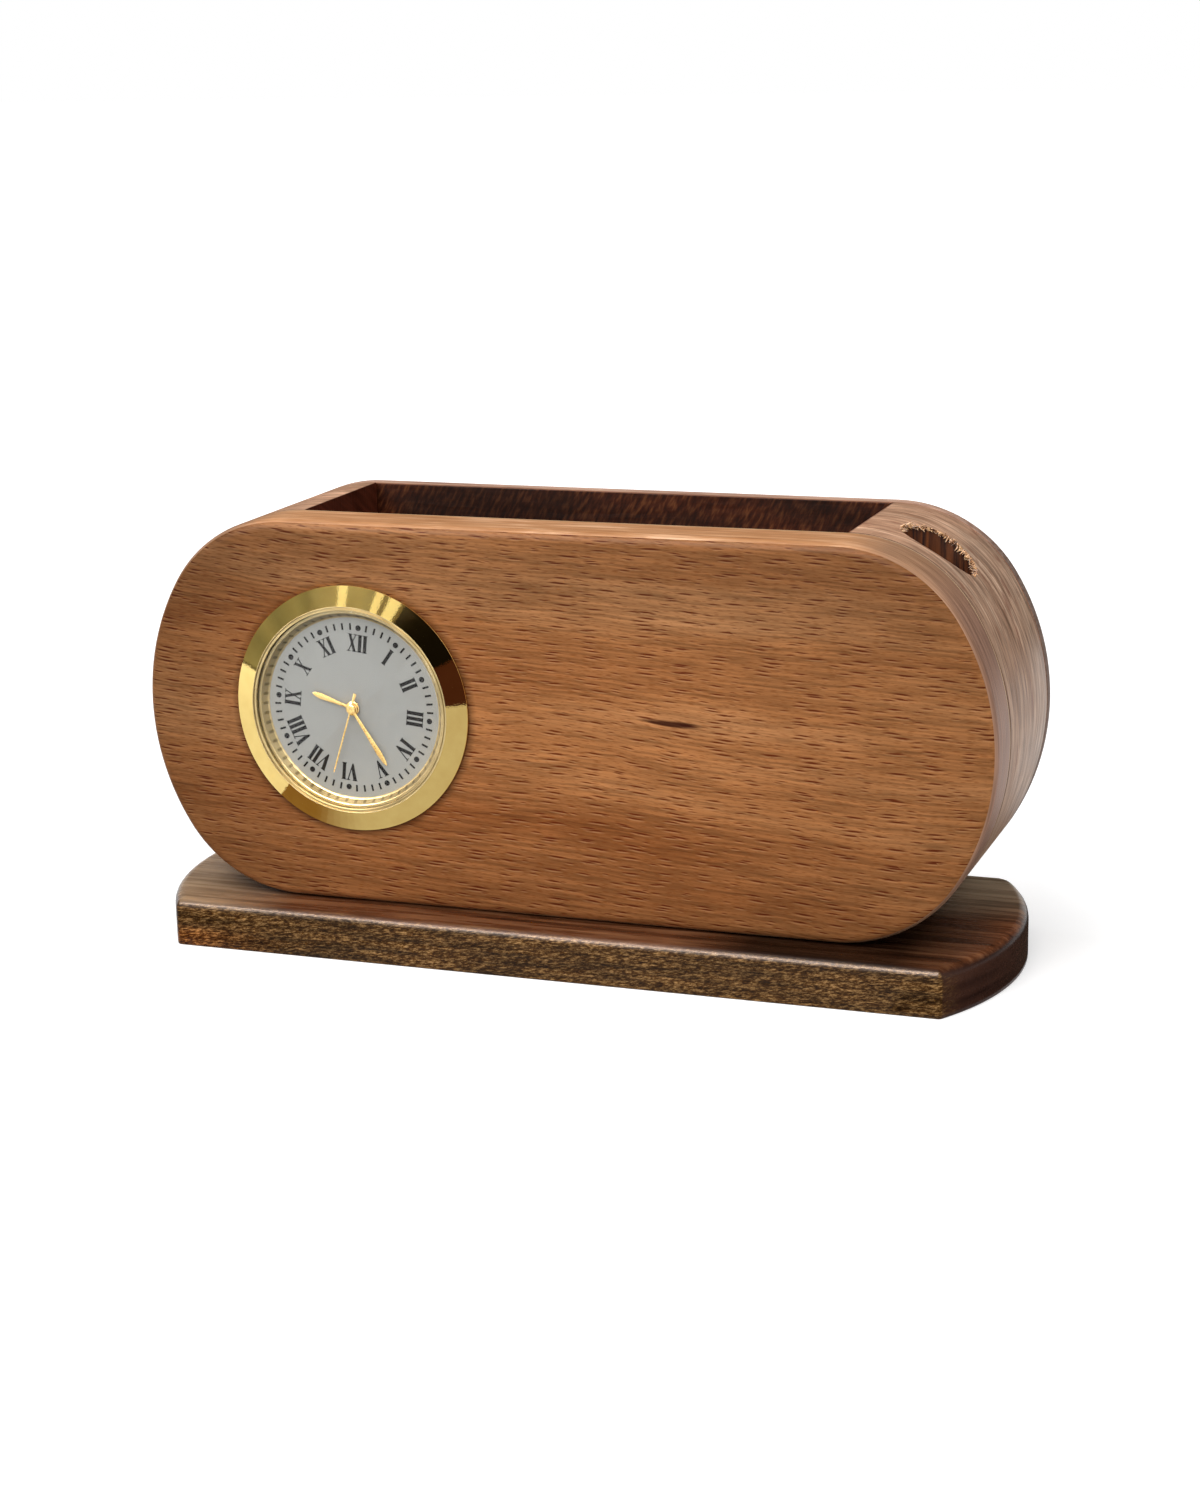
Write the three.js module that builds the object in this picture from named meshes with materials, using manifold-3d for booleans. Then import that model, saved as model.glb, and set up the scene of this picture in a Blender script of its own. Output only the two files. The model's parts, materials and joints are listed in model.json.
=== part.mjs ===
// Pen holder clock: a rounded wooden holder on a dark base, with a push-in quartz clock in its front panel.
// Millimetres, +Z up, +Y to the rear. The origin is the middle of the base's underside.
import * as THREE from 'three';
import { mergeVertices } from 'three/addons/utils/BufferGeometryUtils.js';
import Module from 'manifold-3d';

// Base board
const BASE_LENGTH = 177.2;
const BASE_DEPTH = 62;
const BASE_THICKNESS = 9.7;
const BASE_END_BULGE = 9.1;
const BASE_FRONT_REVEAL = 8.6;

// Holder boards: every board has the same rounded outline
const HOLDER_WIDTH = 175.5;
const HOLDER_HEIGHT = 77.7;
const CORNER_RADIUS = 28.2;
const END_RADIUS = 48.4;
const FRONT_PANEL_THICKNESS = 12;
const END_BLOCK_DEPTH = 35.2;
const REAR_PANEL_THICKNESS = 3.3;
const WELL_LENGTH = 112.5;
const GLUE_LINE = 0.1;

// Pen hole, drilled straight down into the right end block
const PEN_HOLE_DIAMETER = 14.6;
const PEN_HOLE_X = 70.5;
const PEN_HOLE_SETBACK = 25.3;
const PEN_HOLE_FLOOR = 16;

// Wood screws up through the base into the end blocks
const SCREW_X = 60;
const SCREW_SPACING = 20;
const SCREW_LENGTH = 26;
const SCREW_SHANK_RADIUS = 1.5;
const SCREW_HEAD_RADIUS = 3.2;
const SCREW_HEAD_DEPTH = 2.2;
const SCREW_POINT = 3;
const SCREW_RECESS = 0.6;
const SCREW_CLEARANCE = 0.3;

// Clock place and the hole that takes it
const CLOCK_X = -42.1;
const CLOCK_RISE = 1.4;
const CLOCK_HOLE_DIAMETER = 44.4;

// Bezel, lens and dial
const BEZEL_FLANGE = 2.8;
const BEZEL_RISE = 2.1;
const BEZEL_EDGE = 0.4;
const BEZEL_RIM_WIDTH = 0.7;
const BEZEL_SEAT = 0.1;
const BEZEL_SKIRT_DEPTH = 1.5;
const BEZEL_SKIRT_WALL = 0.35;
const LENS_SHELF = 1.5;
const LENS_THICKNESS = 0.8;
const LENS_RECESS = 0.1;
const DIAL_THICKNESS = 0.4;
const DIAL_RING_WIDTH = 1.7;
const DIAL_RING_LIP = 0.5;

// Hands
const HAND_THICKNESS = 0.15;
const HAND_GAP = 0.25;
const DIAL_GAP = 0.5;
const HOUR_HAND_LENGTH = 9;
const HOUR_HAND_WIDTH = 1.2;
const MINUTE_HAND_LENGTH = 13.2;
const MINUTE_HAND_WIDTH = 1.1;
const SECOND_HAND_LENGTH = 13.9;
const SECOND_HAND_WIDTH = 0.32;
const SECOND_HAND_TAIL = 3.4;
const SECOND_TAIL_WIDTH = 0.6;
const HAND_WAIST = 0.55;
const HAND_SHOULDER = 0.8;
const HUB_WALL = 0.4;
const SECOND_HUB_WALL = 0.6;
const DIAL_TURN = 6;
const HOURS_ON_DIAL = 12;
const MINUTES_PER_HOUR = 60;
const SECONDS_PER_MINUTE = 60;
const SHOWN_HOURS = 9;
const SHOWN_MINUTES = 23;
const SHOWN_SECONDS = 32;

// Clock case
const GRIP_BAND_THICKNESS = 0.5;
const GRIP_BAND_WIDTH = 4;
const GRIP_BAND_MARGIN = 1.2;
const CASE_WALL = 1;
const CASE_FIT = 0.1;
const CASE_REAR_LIP = 4.6;
const COVER_THICKNESS = 1.2;
const COVER_SPACE = 0.3;
const COVER_FIT = 0.2;

// Movement plates, pillars and their screws
const DRAWN_PLATE_RADIUS = 15;
const HOLDER_RING_WIDTH = 5.3;
const PLATE_FIT = 0.2;
const PLATE_THICKNESS = 1;
const MOTION_SPACE = 2.2;
const BRIDGE_THICKNESS = 0.8;
const PILLAR_RADIUS = 0.9;
const PILLAR_ORBIT = 13.2;
const PILLAR_ANGLES = [40, 150, 270];
const BRIDGE_SCREW_RADIUS = 0.4;
const BRIDGE_SCREW_HEAD_RADIUS = 1;
const BRIDGE_SCREW_HEAD = 0.5;
const BRIDGE_SCREW_GRIP = 1.2;
const MOVEMENT_FIT = 0.1;

// Wheels, pinions and arbors
const WHEEL_THICKNESS = 0.3;
const LAYER_GAP = 0.3;
const PINION_OVERHANG = 0.15;
const ARBOR_RADIUS = 0.24;
const PIVOT_RADIUS = 0.15;
const PIVOT_SHOULDER = 0.1;
const PIVOT_LENGTH = 0.6;
const PIPE_CLEARANCE = 0.1;
const PIPE_WALL = 0.16;
const CANNON_TEETH = 10;
const MINUTE_WHEEL_TEETH = 30;
const MINUTE_PINION_TEETH = 8;
const HOUR_WHEEL_TEETH = 32;
const MOTION_DISTANCE = 5.2;
const MOTION_ANGLE = 0;
const CENTRE_WHEEL_TEETH = 64;
const THIRD_PINION_TEETH = 8;
const THIRD_WHEEL_TEETH = 60;
const SECONDS_PINION_TEETH = 8;
const THIRD_DISTANCE = 5.9;
const THIRD_ANGLE = 150;
const SECONDS_WHEEL_TEETH = 40;
const FIFTH_PINION_TEETH = 8;
const FIFTH_DISTANCE = 6;
const FIFTH_ANGLE = 30;
const FIFTH_WHEEL_TEETH = 48;
const ROTOR_PINION_TEETH = 8;
const ROTOR_DISTANCE = 5.6;
const ROTOR_ANGLE = -60;
const TOOTH_ADDENDUM = 0.6;
const TOOTH_DEDENDUM = 1.15;
const TOOTH_TIP_SHARE = 0.2;

// Stepping motor, circuit and cell
const MAGNET_RADIUS = 1.3;
const MAGNET_LENGTH = 1.2;
const STATOR_AIR_GAP = 0.3;
const STATOR_RING_WIDTH = 0.9;
const STATOR_THICKNESS = 0.6;
const STATOR_LIFT = 0.4;
const STATOR_BAR_WIDTH = 1.2;
const CORE_SIZE = 0.9;
const CORE_LEFT = -6.4;
const CORE_RIGHT = 9.2;
const CORE_DROP = 10;
const STATOR_FOOT_INSET = 0.9;
const STATOR_KNEE_RISE = 1.9;
const COIL_RADIUS = 1.1;
const COIL_END_MARGIN = 2.7;
const BOARD_WIDTH = 4.8;
const BOARD_HEIGHT = 4.8;
const BOARD_X = -9;
const BOARD_Z = -5.8;
const BOARD_THICKNESS = 0.5;
const BOARD_LIFT = 0.3;
const CAN_RADIUS = 0.75;
const CAN_LENGTH = 4.2;
const CHIP_RADIUS = 1.1;
const CHIP_HEIGHT = 0.6;
const CELL_RADIUS = 3.4;
const CELL_THICKNESS = 2.6;
const CELL_X = 0.6;
const CELL_Z = 10.6;
const CELL_CLEARANCE = 0.3;
const CONTACT_THICKNESS = 0.2;
const CONTACT_GAP = 0.15;
const CONTACT_PAD_RADIUS = 2.2;
const CONTACT_TAIL = 7.6;
const CONTACT_TAIL_WIDTH = 1.4;
const CONTACT_TAIL_ANGLE = 190;

// Battery hatch in the back cover
const HATCH_MARGIN = 0.6;
const HATCH_CLEARANCE = 0.2;
const COIN_SLOT_LENGTH = 5.4;
const COIN_SLOT_WIDTH = 0.9;
const COIN_SLOT_DEPTH = 0.5;

// Setting stem and crown
const STEM_RADIUS = 0.5;
const STEM_LIFT = 0.75;
const STEM_CLEARANCE = 0.3;
const STEM_REACH = 0.4;
const CROWN_RADIUS = 1.2;
const CROWN_LENGTH = 1.8;
const CROWN_BORE_DEPTH = 1.3;
const CROWN_RIBS = 12;
const CROWN_RIB_DEPTH = 0.15;
const CROWN_PULL = 0.8;

// Facets on round pieces
const FINE = 36;
const MEDIUM = 20;
const SMALL = 10;
const ARC_STEPS = 6;
const MERGE_DISTANCE = 1e-5;

// Heights and setbacks that follow from the boards
const faceY = -BASE_DEPTH / 2 + BASE_FRONT_REVEAL;
const holderBottom = BASE_THICKNESS + GLUE_LINE;
const holderZ = holderBottom + HOLDER_HEIGHT / 2;
const halfWidth = HOLDER_WIDTH / 2;
const halfHeight = HOLDER_HEIGHT / 2;
const blockFront = FRONT_PANEL_THICKNESS + GLUE_LINE;
const blockRear = blockFront + END_BLOCK_DEPTH;
const rearPanelFront = blockRear + GLUE_LINE;
const rearPanelRear = rearPanelFront + REAR_PANEL_THICKNESS;

// Depths in the clock, counted to the rear from the holder's front face
const lensFront = -BEZEL_RISE + LENS_RECESS;
const lensRear = lensFront + LENS_THICKNESS;
const secondFront = lensRear + HAND_GAP;
const minuteFront = secondFront + HAND_THICKNESS + HAND_GAP;
const hourFront = minuteFront + HAND_THICKNESS + HAND_GAP;
const dialFront = hourFront + HAND_THICKNESS + DIAL_GAP;
const dialRear = dialFront + DIAL_THICKNESS;
const hourWheelFront = dialRear + LAYER_GAP;
const minuteWheelFront = hourWheelFront + WHEEL_THICKNESS + LAYER_GAP;
const minuteWheelRear = minuteWheelFront + WHEEL_THICKNESS;
const plateFront = dialRear + MOTION_SPACE;
const plateRear = plateFront + PLATE_THICKNESS;
const centreWheelFront = plateRear + LAYER_GAP;
const thirdWheelFront = centreWheelFront + WHEEL_THICKNESS + LAYER_GAP;
const secondsWheelFront = thirdWheelFront + WHEEL_THICKNESS + LAYER_GAP;
const fifthWheelFront = secondsWheelFront + WHEEL_THICKNESS + LAYER_GAP;
const fifthWheelRear = fifthWheelFront + WHEEL_THICKNESS;
const bridgeFront = fifthWheelRear + LAYER_GAP;
const bridgeRear = bridgeFront + BRIDGE_THICKNESS;
const coverFront = bridgeRear + BRIDGE_SCREW_HEAD + COVER_SPACE;
const coverRear = coverFront + COVER_THICKNESS;
const stemDepth = plateFront - STEM_LIFT;

// Radii in the clock
const holeRadius = CLOCK_HOLE_DIAMETER / 2;
const gripRadius = holeRadius - CASE_FIT;
const caseRadius = gripRadius - GRIP_BAND_THICKNESS;
const caseBore = caseRadius - CASE_WALL;
const lensRadius = caseRadius - LENS_SHELF;
const bezelBore = lensRadius + CASE_FIT;
const coverBore = caseRadius - CASE_REAR_LIP;
const skirtOuter = gripRadius - CASE_FIT / 2;
const skirtInner = skirtOuter - BEZEL_SKIRT_WALL;
const secondPipe = ARBOR_RADIUS + PIPE_CLEARANCE;
const centrePipe = secondPipe + PIPE_WALL;
const cannonBore = centrePipe + PIPE_CLEARANCE / 2;
const cannonRadius = cannonBore + PIPE_WALL;
const hourBore = cannonRadius + PIPE_CLEARANCE;
const hourPipe = hourBore + PIPE_WALL;
const handFit = PIPE_CLEARANCE / 2;

// The movement is drawn for one plate radius and follows the plate that the case takes
const plateRadius = caseBore - CASE_FIT - HOLDER_RING_WIDTH - PLATE_FIT;
const layout = plateRadius / DRAWN_PLATE_RADIUS;
const pillarOrbit = layout * PILLAR_ORBIT;
const motionDistance = layout * MOTION_DISTANCE;
const thirdDistance = layout * THIRD_DISTANCE;
const fifthDistance = layout * FIFTH_DISTANCE;
const rotorDistance = layout * ROTOR_DISTANCE;
const magnetRadius = layout * MAGNET_RADIUS;
const coreLeft = layout * CORE_LEFT;
const coreRight = layout * CORE_RIGHT;
const coreDrop = layout * CORE_DROP;
const boardX = layout * BOARD_X;
const boardZ = layout * BOARD_Z;
const cellX = layout * CELL_X;
const cellZ = layout * CELL_Z;
const cellRadius = layout * CELL_RADIUS;
const hatchHole = cellRadius + HATCH_MARGIN + HATCH_CLEARANCE;

const wasm = await Module();
wasm.setup();

// Gives a closed body with merged corners and its faces pointing out.
function closed(geometry) {
  geometry.deleteAttribute('normal');
  geometry.deleteAttribute('uv');
  const merged = mergeVertices(geometry, MERGE_DISTANCE);
  const index = merged.index.array;
  const p = merged.attributes.position;
  const kept = [];
  let volume = 0;
  const [a, b, c] = [new THREE.Vector3(), new THREE.Vector3(), new THREE.Vector3()];
  for (let i = 0; i < index.length; i += 3) {
    const [u, v, w] = [index[i], index[i + 1], index[i + 2]];
    if (u === v || v === w || w === u) continue;
    kept.push(u, v, w);
    volume += a.fromBufferAttribute(p, u).dot(b.fromBufferAttribute(p, v).cross(c.fromBufferAttribute(p, w)));
  }
  if (volume < 0) kept.reverse();
  merged.setIndex(kept);
  return merged;
}

function solid(geometry) {
  const body = closed(geometry);
  return new wasm.Manifold(new wasm.Mesh({
    numProp: 3,
    vertProperties: new Float32Array(body.attributes.position.array),
    triVerts: new Uint32Array(body.index.array),
  }));
}

function geometryOf(body) {
  const mesh = body.getMesh();
  const geometry = new THREE.BufferGeometry();
  geometry.setAttribute('position', new THREE.BufferAttribute(new Float32Array(mesh.vertProperties), 3));
  geometry.setIndex(Array.from(mesh.triVerts));
  return geometry;
}

const join = (first, ...others) => others.reduce((body, next) => body.add(solid(next)), solid(first));
const cut = (body, ...tools) => tools.reduce((rest, tool) => rest.subtract(solid(tool)), body);

// A flat outline in X and Z, thick from one depth to another.
function slab(shape, from, to) {
  const geometry = new THREE.ExtrudeGeometry(shape, {
    depth: to - from, bevelEnabled: false, curveSegments: ARC_STEPS,
  });
  return geometry.rotateX(Math.PI / 2).translate(0, to, 0);
}

// A turned piece about the Y axis: radius and depth pairs that close on themselves.
function turned(profile, facets) {
  const points = profile.map(([radius, depth]) => new THREE.Vector2(radius, depth));
  if (profile[0][0] > 0) points.push(points[0].clone());
  return new THREE.LatheGeometry(points, facets);
}

const ring = (inner, outer, from, to, facets) =>
  turned([[inner, from], [outer, from], [outer, to], [inner, to]], facets);
const disc = (radius, from, to, facets) =>
  turned([[0, from], [radius, from], [radius, to], [0, to]], facets);
const at = (geometry, x, z) => geometry.translate(x, 0, z);
const polar = (distance, degrees) => [
  distance * Math.cos(THREE.MathUtils.degToRad(degrees)),
  distance * Math.sin(THREE.MathUtils.degToRad(degrees)),
];

// A straight flat bar between two points of the X-Z plane.
function bar([x0, z0], [x1, z1], width, from, to) {
  const length = Math.hypot(x1 - x0, z1 - z0);
  const geometry = new THREE.BoxGeometry(length, to - from, width);
  geometry.rotateY(-Math.atan2(z1 - z0, x1 - x0));
  return geometry.translate((x0 + x1) / 2, (from + to) / 2, (z0 + z1) / 2);
}

function piece(name, geometry, { color, roughness, metalness }) {
  const mesh = new THREE.Mesh(geometry, new THREE.MeshStandardMaterial({ color, roughness, metalness }));
  mesh.name = name;
  return mesh;
}

const finish = (color, roughness, metalness) => ({ color, roughness, metalness });
const BEECH = finish(0xa86a3a, 0.5, 0);
const PALE_WOOD = finish(0xa08372, 0.6, 0);
const DARK_WOOD = finish(0x4a2a1c, 0.35, 0);
const GOLD = finish(0xd9b25a, 0.15, 1);
const BRASS = finish(0xb8923f, 0.35, 1);
const STEEL = finish(0x9a9da0, 0.35, 1);
const GLASS = finish(0xf2f6f5, 0.02, 0);
const DIAL_WHITE = finish(0xb9bab5, 0.6, 0);
const BLACK_PLASTIC = finish(0x1d1d1f, 0.5, 0);
const WHITE_PLASTIC = finish(0xd8d6cf, 0.5, 0);
const RUBBER = finish(0x161616, 0.8, 0);
const COPPER = finish(0xa9552e, 0.4, 1);
const BOARD_GREEN = finish(0x1f5a37, 0.5, 0);

// Holder outline: straight top and bottom, corner arcs, and a wide arc across each end.
function holderOutline() {
  const endCentre = halfWidth - END_RADIUS;
  const cornerZ = halfHeight - CORNER_RADIUS;
  const reach = Math.sqrt((END_RADIUS - CORNER_RADIUS) ** 2 - cornerZ ** 2);
  const cornerX = endCentre + reach;
  const meet = Math.atan2(cornerZ, reach);
  const shape = new THREE.Shape();
  shape.absarc(cornerX, -cornerZ, CORNER_RADIUS, -Math.PI / 2, -meet, false);
  shape.absarc(endCentre, 0, END_RADIUS, -meet, meet, false);
  shape.absarc(cornerX, cornerZ, CORNER_RADIUS, meet, Math.PI / 2, false);
  shape.absarc(-cornerX, cornerZ, CORNER_RADIUS, Math.PI / 2, Math.PI - meet, false);
  shape.absarc(-endCentre, 0, END_RADIUS, Math.PI - meet, Math.PI + meet, false);
  shape.absarc(-cornerX, -cornerZ, CORNER_RADIUS, Math.PI + meet, 1.5 * Math.PI, false);
  return shape;
}

function baseOutline() {
  const halfDepth = BASE_DEPTH / 2;
  const radius = (halfDepth ** 2 + BASE_END_BULGE ** 2) / (2 * BASE_END_BULGE);
  const centre = BASE_LENGTH / 2 - radius;
  const swing = Math.asin(halfDepth / radius);
  const shape = new THREE.Shape();
  shape.absarc(centre, 0, radius, -swing, swing, false);
  shape.absarc(-centre, 0, radius, Math.PI - swing, Math.PI + swing, false);
  return shape;
}

// The wood screws' places: along X, and as setbacks from the front face
const screwSetback = blockFront + END_BLOCK_DEPTH / 2;
const screwPlaces = [-1, 1].flatMap((side) =>
  [-1, 1].map((row) => [side * SCREW_X, screwSetback + row * SCREW_SPACING / 2]));

// A countersunk screw standing on its head, with its axis up Z.
function screwBody(clearance) {
  const head = SCREW_HEAD_RADIUS + clearance;
  const shank = SCREW_SHANK_RADIUS + clearance;
  const foot = clearance > 0 ? -SCREW_RECESS - clearance : 0;
  const profile = [
    [0, foot], [head, foot], [head, 0], [shank, SCREW_HEAD_DEPTH],
    [shank, SCREW_LENGTH - SCREW_POINT + clearance], [0, SCREW_LENGTH + clearance],
  ];
  return turned(profile, SMALL).rotateX(Math.PI / 2).translate(0, 0, SCREW_RECESS);
}

function basePlate() {
  const board = new THREE.ExtrudeGeometry(baseOutline(), {
    depth: BASE_THICKNESS, bevelEnabled: false, curveSegments: ARC_STEPS,
  });
  const holes = screwPlaces.map(([x, setback]) => screwBody(SCREW_CLEARANCE).translate(x, faceY + setback, 0));
  return piece('base_plate', geometryOf(cut(solid(board), ...holes)), DARK_WOOD);
}

function frontPanel() {
  const board = slab(holderOutline(), 0, FRONT_PANEL_THICKNESS);
  const bore = at(disc(holeRadius, -GLUE_LINE, blockFront, FINE), CLOCK_X, CLOCK_RISE);
  return piece('front_panel', geometryOf(cut(solid(board), bore)), BEECH);
}

// An end block is the holder's outline beyond one end of the pen well.
function endBlock(side) {
  const width = halfWidth - WELL_LENGTH / 2;
  const keep = new THREE.BoxGeometry(width, HOLDER_WIDTH, HOLDER_WIDTH);
  keep.translate(side * (WELL_LENGTH / 2 + width / 2), 0, 0);
  const outline = slab(holderOutline(), blockFront, blockRear);
  const holes = screwPlaces.filter(([x]) => Math.sign(x) === side).map(([x, setback]) =>
    screwBody(SCREW_CLEARANCE).translate(x, setback, -holderZ));
  return cut(solid(outline).intersect(solid(keep)), ...holes);
}

function penHole() {
  const bore = new THREE.CylinderGeometry(PEN_HOLE_DIAMETER / 2, PEN_HOLE_DIAMETER / 2, HOLDER_HEIGHT, MEDIUM);
  return bore.rotateX(Math.PI / 2).translate(PEN_HOLE_X, PEN_HOLE_SETBACK, PEN_HOLE_FLOOR);
}

function holder() {
  const group = new THREE.Group();
  group.position.set(0, faceY, holderZ);
  group.add(
    frontPanel(),
    piece('left_end_block', geometryOf(endBlock(-1)), PALE_WOOD),
    piece('right_end_block', geometryOf(cut(endBlock(1), penHole())), PALE_WOOD),
    piece('rear_panel', closed(slab(holderOutline(), rearPanelFront, rearPanelRear)), BEECH),
  );
  return group;
}

function baseScrews() {
  return screwPlaces.map(([x, setback], i) => {
    const screw = piece(`base_screw_${i + 1}`, closed(screwBody(0)), STEEL);
    screw.position.set(x, faceY + setback, 0);
    return screw;
  });
}

// Gear teeth: a flat-topped tooth stands at the phase angle, with a pointed gap on each side.
function gearShape(teeth, pitchRadius, phase) {
  const module = 2 * pitchRadius / teeth;
  const tip = pitchRadius + TOOTH_ADDENDUM * module;
  const root = pitchRadius - TOOTH_DEDENDUM * module;
  const pitch = 2 * Math.PI / teeth;
  const points = [];
  for (let i = 0; i < teeth; i += 1) {
    const middle = phase + i * pitch;
    for (const [radius, part] of [[root, -0.5], [tip, -TOOTH_TIP_SHARE / 2], [tip, TOOTH_TIP_SHARE / 2]]) {
      const angle = middle + part * pitch;
      points.push(new THREE.Vector2(radius * Math.cos(angle), radius * Math.sin(angle)));
    }
  }
  return new THREE.Shape(points);
}

// The tooth phase that puts a gap of the driven gear on the driver's tooth, along the line of centres.
function matingPhase(driverPhase, driverTeeth, drivenTeeth, degrees) {
  const line = THREE.MathUtils.degToRad(degrees);
  return line + Math.PI + (line - driverPhase) * driverTeeth / drivenTeeth + Math.PI / drivenTeeth;
}

const gear = (teeth, pitchRadius, phase, from, to) => slab(gearShape(teeth, pitchRadius, phase), from, to);
const share = (distance, teeth, mate) => distance * teeth / (teeth + mate);

// An arbor between two plates: a body with a thinner pivot in each plate.
function arbor(from, to) {
  return turned([
    [0, from - PIVOT_LENGTH], [PIVOT_RADIUS, from - PIVOT_LENGTH], [PIVOT_RADIUS, from], [ARBOR_RADIUS, from],
    [ARBOR_RADIUS, to], [PIVOT_RADIUS, to], [PIVOT_RADIUS, to + PIVOT_LENGTH], [0, to + PIVOT_LENGTH],
  ], SMALL);
}
const arborFront = plateRear + PIVOT_SHOULDER;
const arborRear = bridgeFront - PIVOT_SHOULDER;

const thirdAxis = polar(thirdDistance, THIRD_ANGLE);
const fifthAxis = polar(fifthDistance, FIFTH_ANGLE);
const rotorStep = polar(rotorDistance, ROTOR_ANGLE);
const rotorAxis = [fifthAxis[0] + rotorStep[0], fifthAxis[1] + rotorStep[1]];
const motionAxis = polar(motionDistance, MOTION_ANGLE);
const pillarPlaces = PILLAR_ANGLES.map((degrees) => polar(pillarOrbit, degrees));

// Tooth phases along the train, each set by the gear that drives it
const thirdPhase = matingPhase(0, SECONDS_PINION_TEETH, THIRD_WHEEL_TEETH, THIRD_ANGLE);
const centrePhase = matingPhase(thirdPhase, THIRD_PINION_TEETH, CENTRE_WHEEL_TEETH, THIRD_ANGLE + 180);
const fifthPhase = matingPhase(0, SECONDS_WHEEL_TEETH, FIFTH_PINION_TEETH, FIFTH_ANGLE);
const rotorPhase = matingPhase(fifthPhase, FIFTH_WHEEL_TEETH, ROTOR_PINION_TEETH, ROTOR_ANGLE);
const minuteWheelPhase = matingPhase(0, CANNON_TEETH, MINUTE_WHEEL_TEETH, MOTION_ANGLE);
const hourPhase = matingPhase(minuteWheelPhase, MINUTE_PINION_TEETH, HOUR_WHEEL_TEETH, MOTION_ANGLE + 180);

// Hands: a round hub, a blade that is narrow there and widest at the shoulder, a point, and perhaps a tail.
function handOutline(length, width, hubBore, hubWall, tail, tailWidth) {
  const shape = new THREE.Shape();
  const hubRadius = hubBore + hubWall;
  const waist = Math.min(HAND_WAIST, width) / 2;
  const rootAngle = Math.asin(waist / hubRadius);
  const shoulder = length * HAND_SHOULDER;
  shape.absarc(0, 0, hubRadius, Math.PI / 2 + rootAngle, 1.5 * Math.PI - rootAngle, false);
  if (tail > 0) {
    shape.lineTo(-tailWidth / 2, -tail);
    shape.lineTo(tailWidth / 2, -tail);
  }
  shape.absarc(0, 0, hubRadius, 1.5 * Math.PI + rootAngle, 2.5 * Math.PI - rootAngle, false);
  shape.lineTo(width / 2, shoulder);
  shape.lineTo(0, length);
  shape.lineTo(-width / 2, shoulder);
  const bore = new THREE.Path();
  bore.absarc(0, 0, hubBore, 0, 2 * Math.PI, true);
  shape.holes.push(bore);
  return shape;
}

// A hand at its clockwise angle from upright, seen from the front.
function hand(name, degrees, outline, front) {
  const geometry = slab(outline, front, front + HAND_THICKNESS);
  const mesh = piece(name, closed(geometry), GOLD);
  mesh.rotation.y = THREE.MathUtils.degToRad(degrees);
  return mesh;
}

const hourStep = 360 / HOURS_ON_DIAL;
const minuteStep = 360 / MINUTES_PER_HOUR;
const shownMinutes = SHOWN_MINUTES + SHOWN_SECONDS / SECONDS_PER_MINUTE;
const hourAngle = DIAL_TURN + (SHOWN_HOURS + shownMinutes / MINUTES_PER_HOUR) * hourStep;
const minuteAngle = DIAL_TURN + shownMinutes * minuteStep;
const secondAngle = DIAL_TURN + SHOWN_SECONDS * minuteStep;

function hands() {
  const hour = handOutline(HOUR_HAND_LENGTH, HOUR_HAND_WIDTH, hourPipe + handFit, HUB_WALL, 0, 0);
  const minute = handOutline(MINUTE_HAND_LENGTH, MINUTE_HAND_WIDTH, cannonRadius + handFit, HUB_WALL, 0, 0);
  const second = handOutline(SECOND_HAND_LENGTH, SECOND_HAND_WIDTH, ARBOR_RADIUS + handFit, SECOND_HUB_WALL,
    SECOND_HAND_TAIL, SECOND_TAIL_WIDTH);
  return [
    hand('hour_hand', hourAngle, hour, hourFront),
    hand('minute_hand', minuteAngle, minute, minuteFront),
    hand('second_hand', secondAngle, second, secondFront),
  ];
}

function bezel() {
  const rear = -BEZEL_SEAT;
  const outer = holeRadius + BEZEL_FLANGE;
  return turned([
    [bezelBore, rear], [bezelBore, -BEZEL_RISE], [bezelBore + BEZEL_RIM_WIDTH, -BEZEL_RISE],
    [outer, rear - BEZEL_EDGE], [outer, rear], [skirtOuter, rear], [skirtOuter, BEZEL_SKIRT_DEPTH],
    [skirtInner, BEZEL_SKIRT_DEPTH], [skirtInner, rear],
  ], FINE);
}

function dialRing() {
  const outer = lensRadius;
  const from = lensRear + handFit;
  const to = dialFront - handFit;
  return turned([
    [outer - DIAL_RING_LIP, from], [outer, from], [outer, to], [outer - DIAL_RING_WIDTH, to],
  ], FINE);
}

// The crown's channel runs out along +X through the holder ring and the case wall.
// Pulled right out, the crown still stops inside the bezel's skirt.
const crownStart = skirtInner - CASE_FIT - CROWN_PULL - CROWN_LENGTH;
function crownChannel() {
  const stemWay = new THREE.CylinderGeometry(STEM_RADIUS + STEM_CLEARANCE, STEM_RADIUS + STEM_CLEARANCE,
    caseRadius, SMALL);
  const crownWay = new THREE.CylinderGeometry(CROWN_RADIUS + STEM_CLEARANCE, CROWN_RADIUS + STEM_CLEARANCE,
    caseRadius, SMALL);
  stemWay.rotateZ(Math.PI / 2).translate(caseRadius / 2, stemDepth, 0);
  crownWay.rotateZ(Math.PI / 2).translate(crownStart - STEM_CLEARANCE + caseRadius / 2, stemDepth, 0);
  return [stemWay, crownWay];
}

function caseCup() {
  const cup = turned([
    [caseBore, 0], [caseRadius, 0], [caseRadius, coverRear], [coverBore, coverRear],
    [coverBore, coverFront], [caseBore, coverFront],
  ], FINE);
  return cut(solid(cup), ...crownChannel());
}

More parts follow.
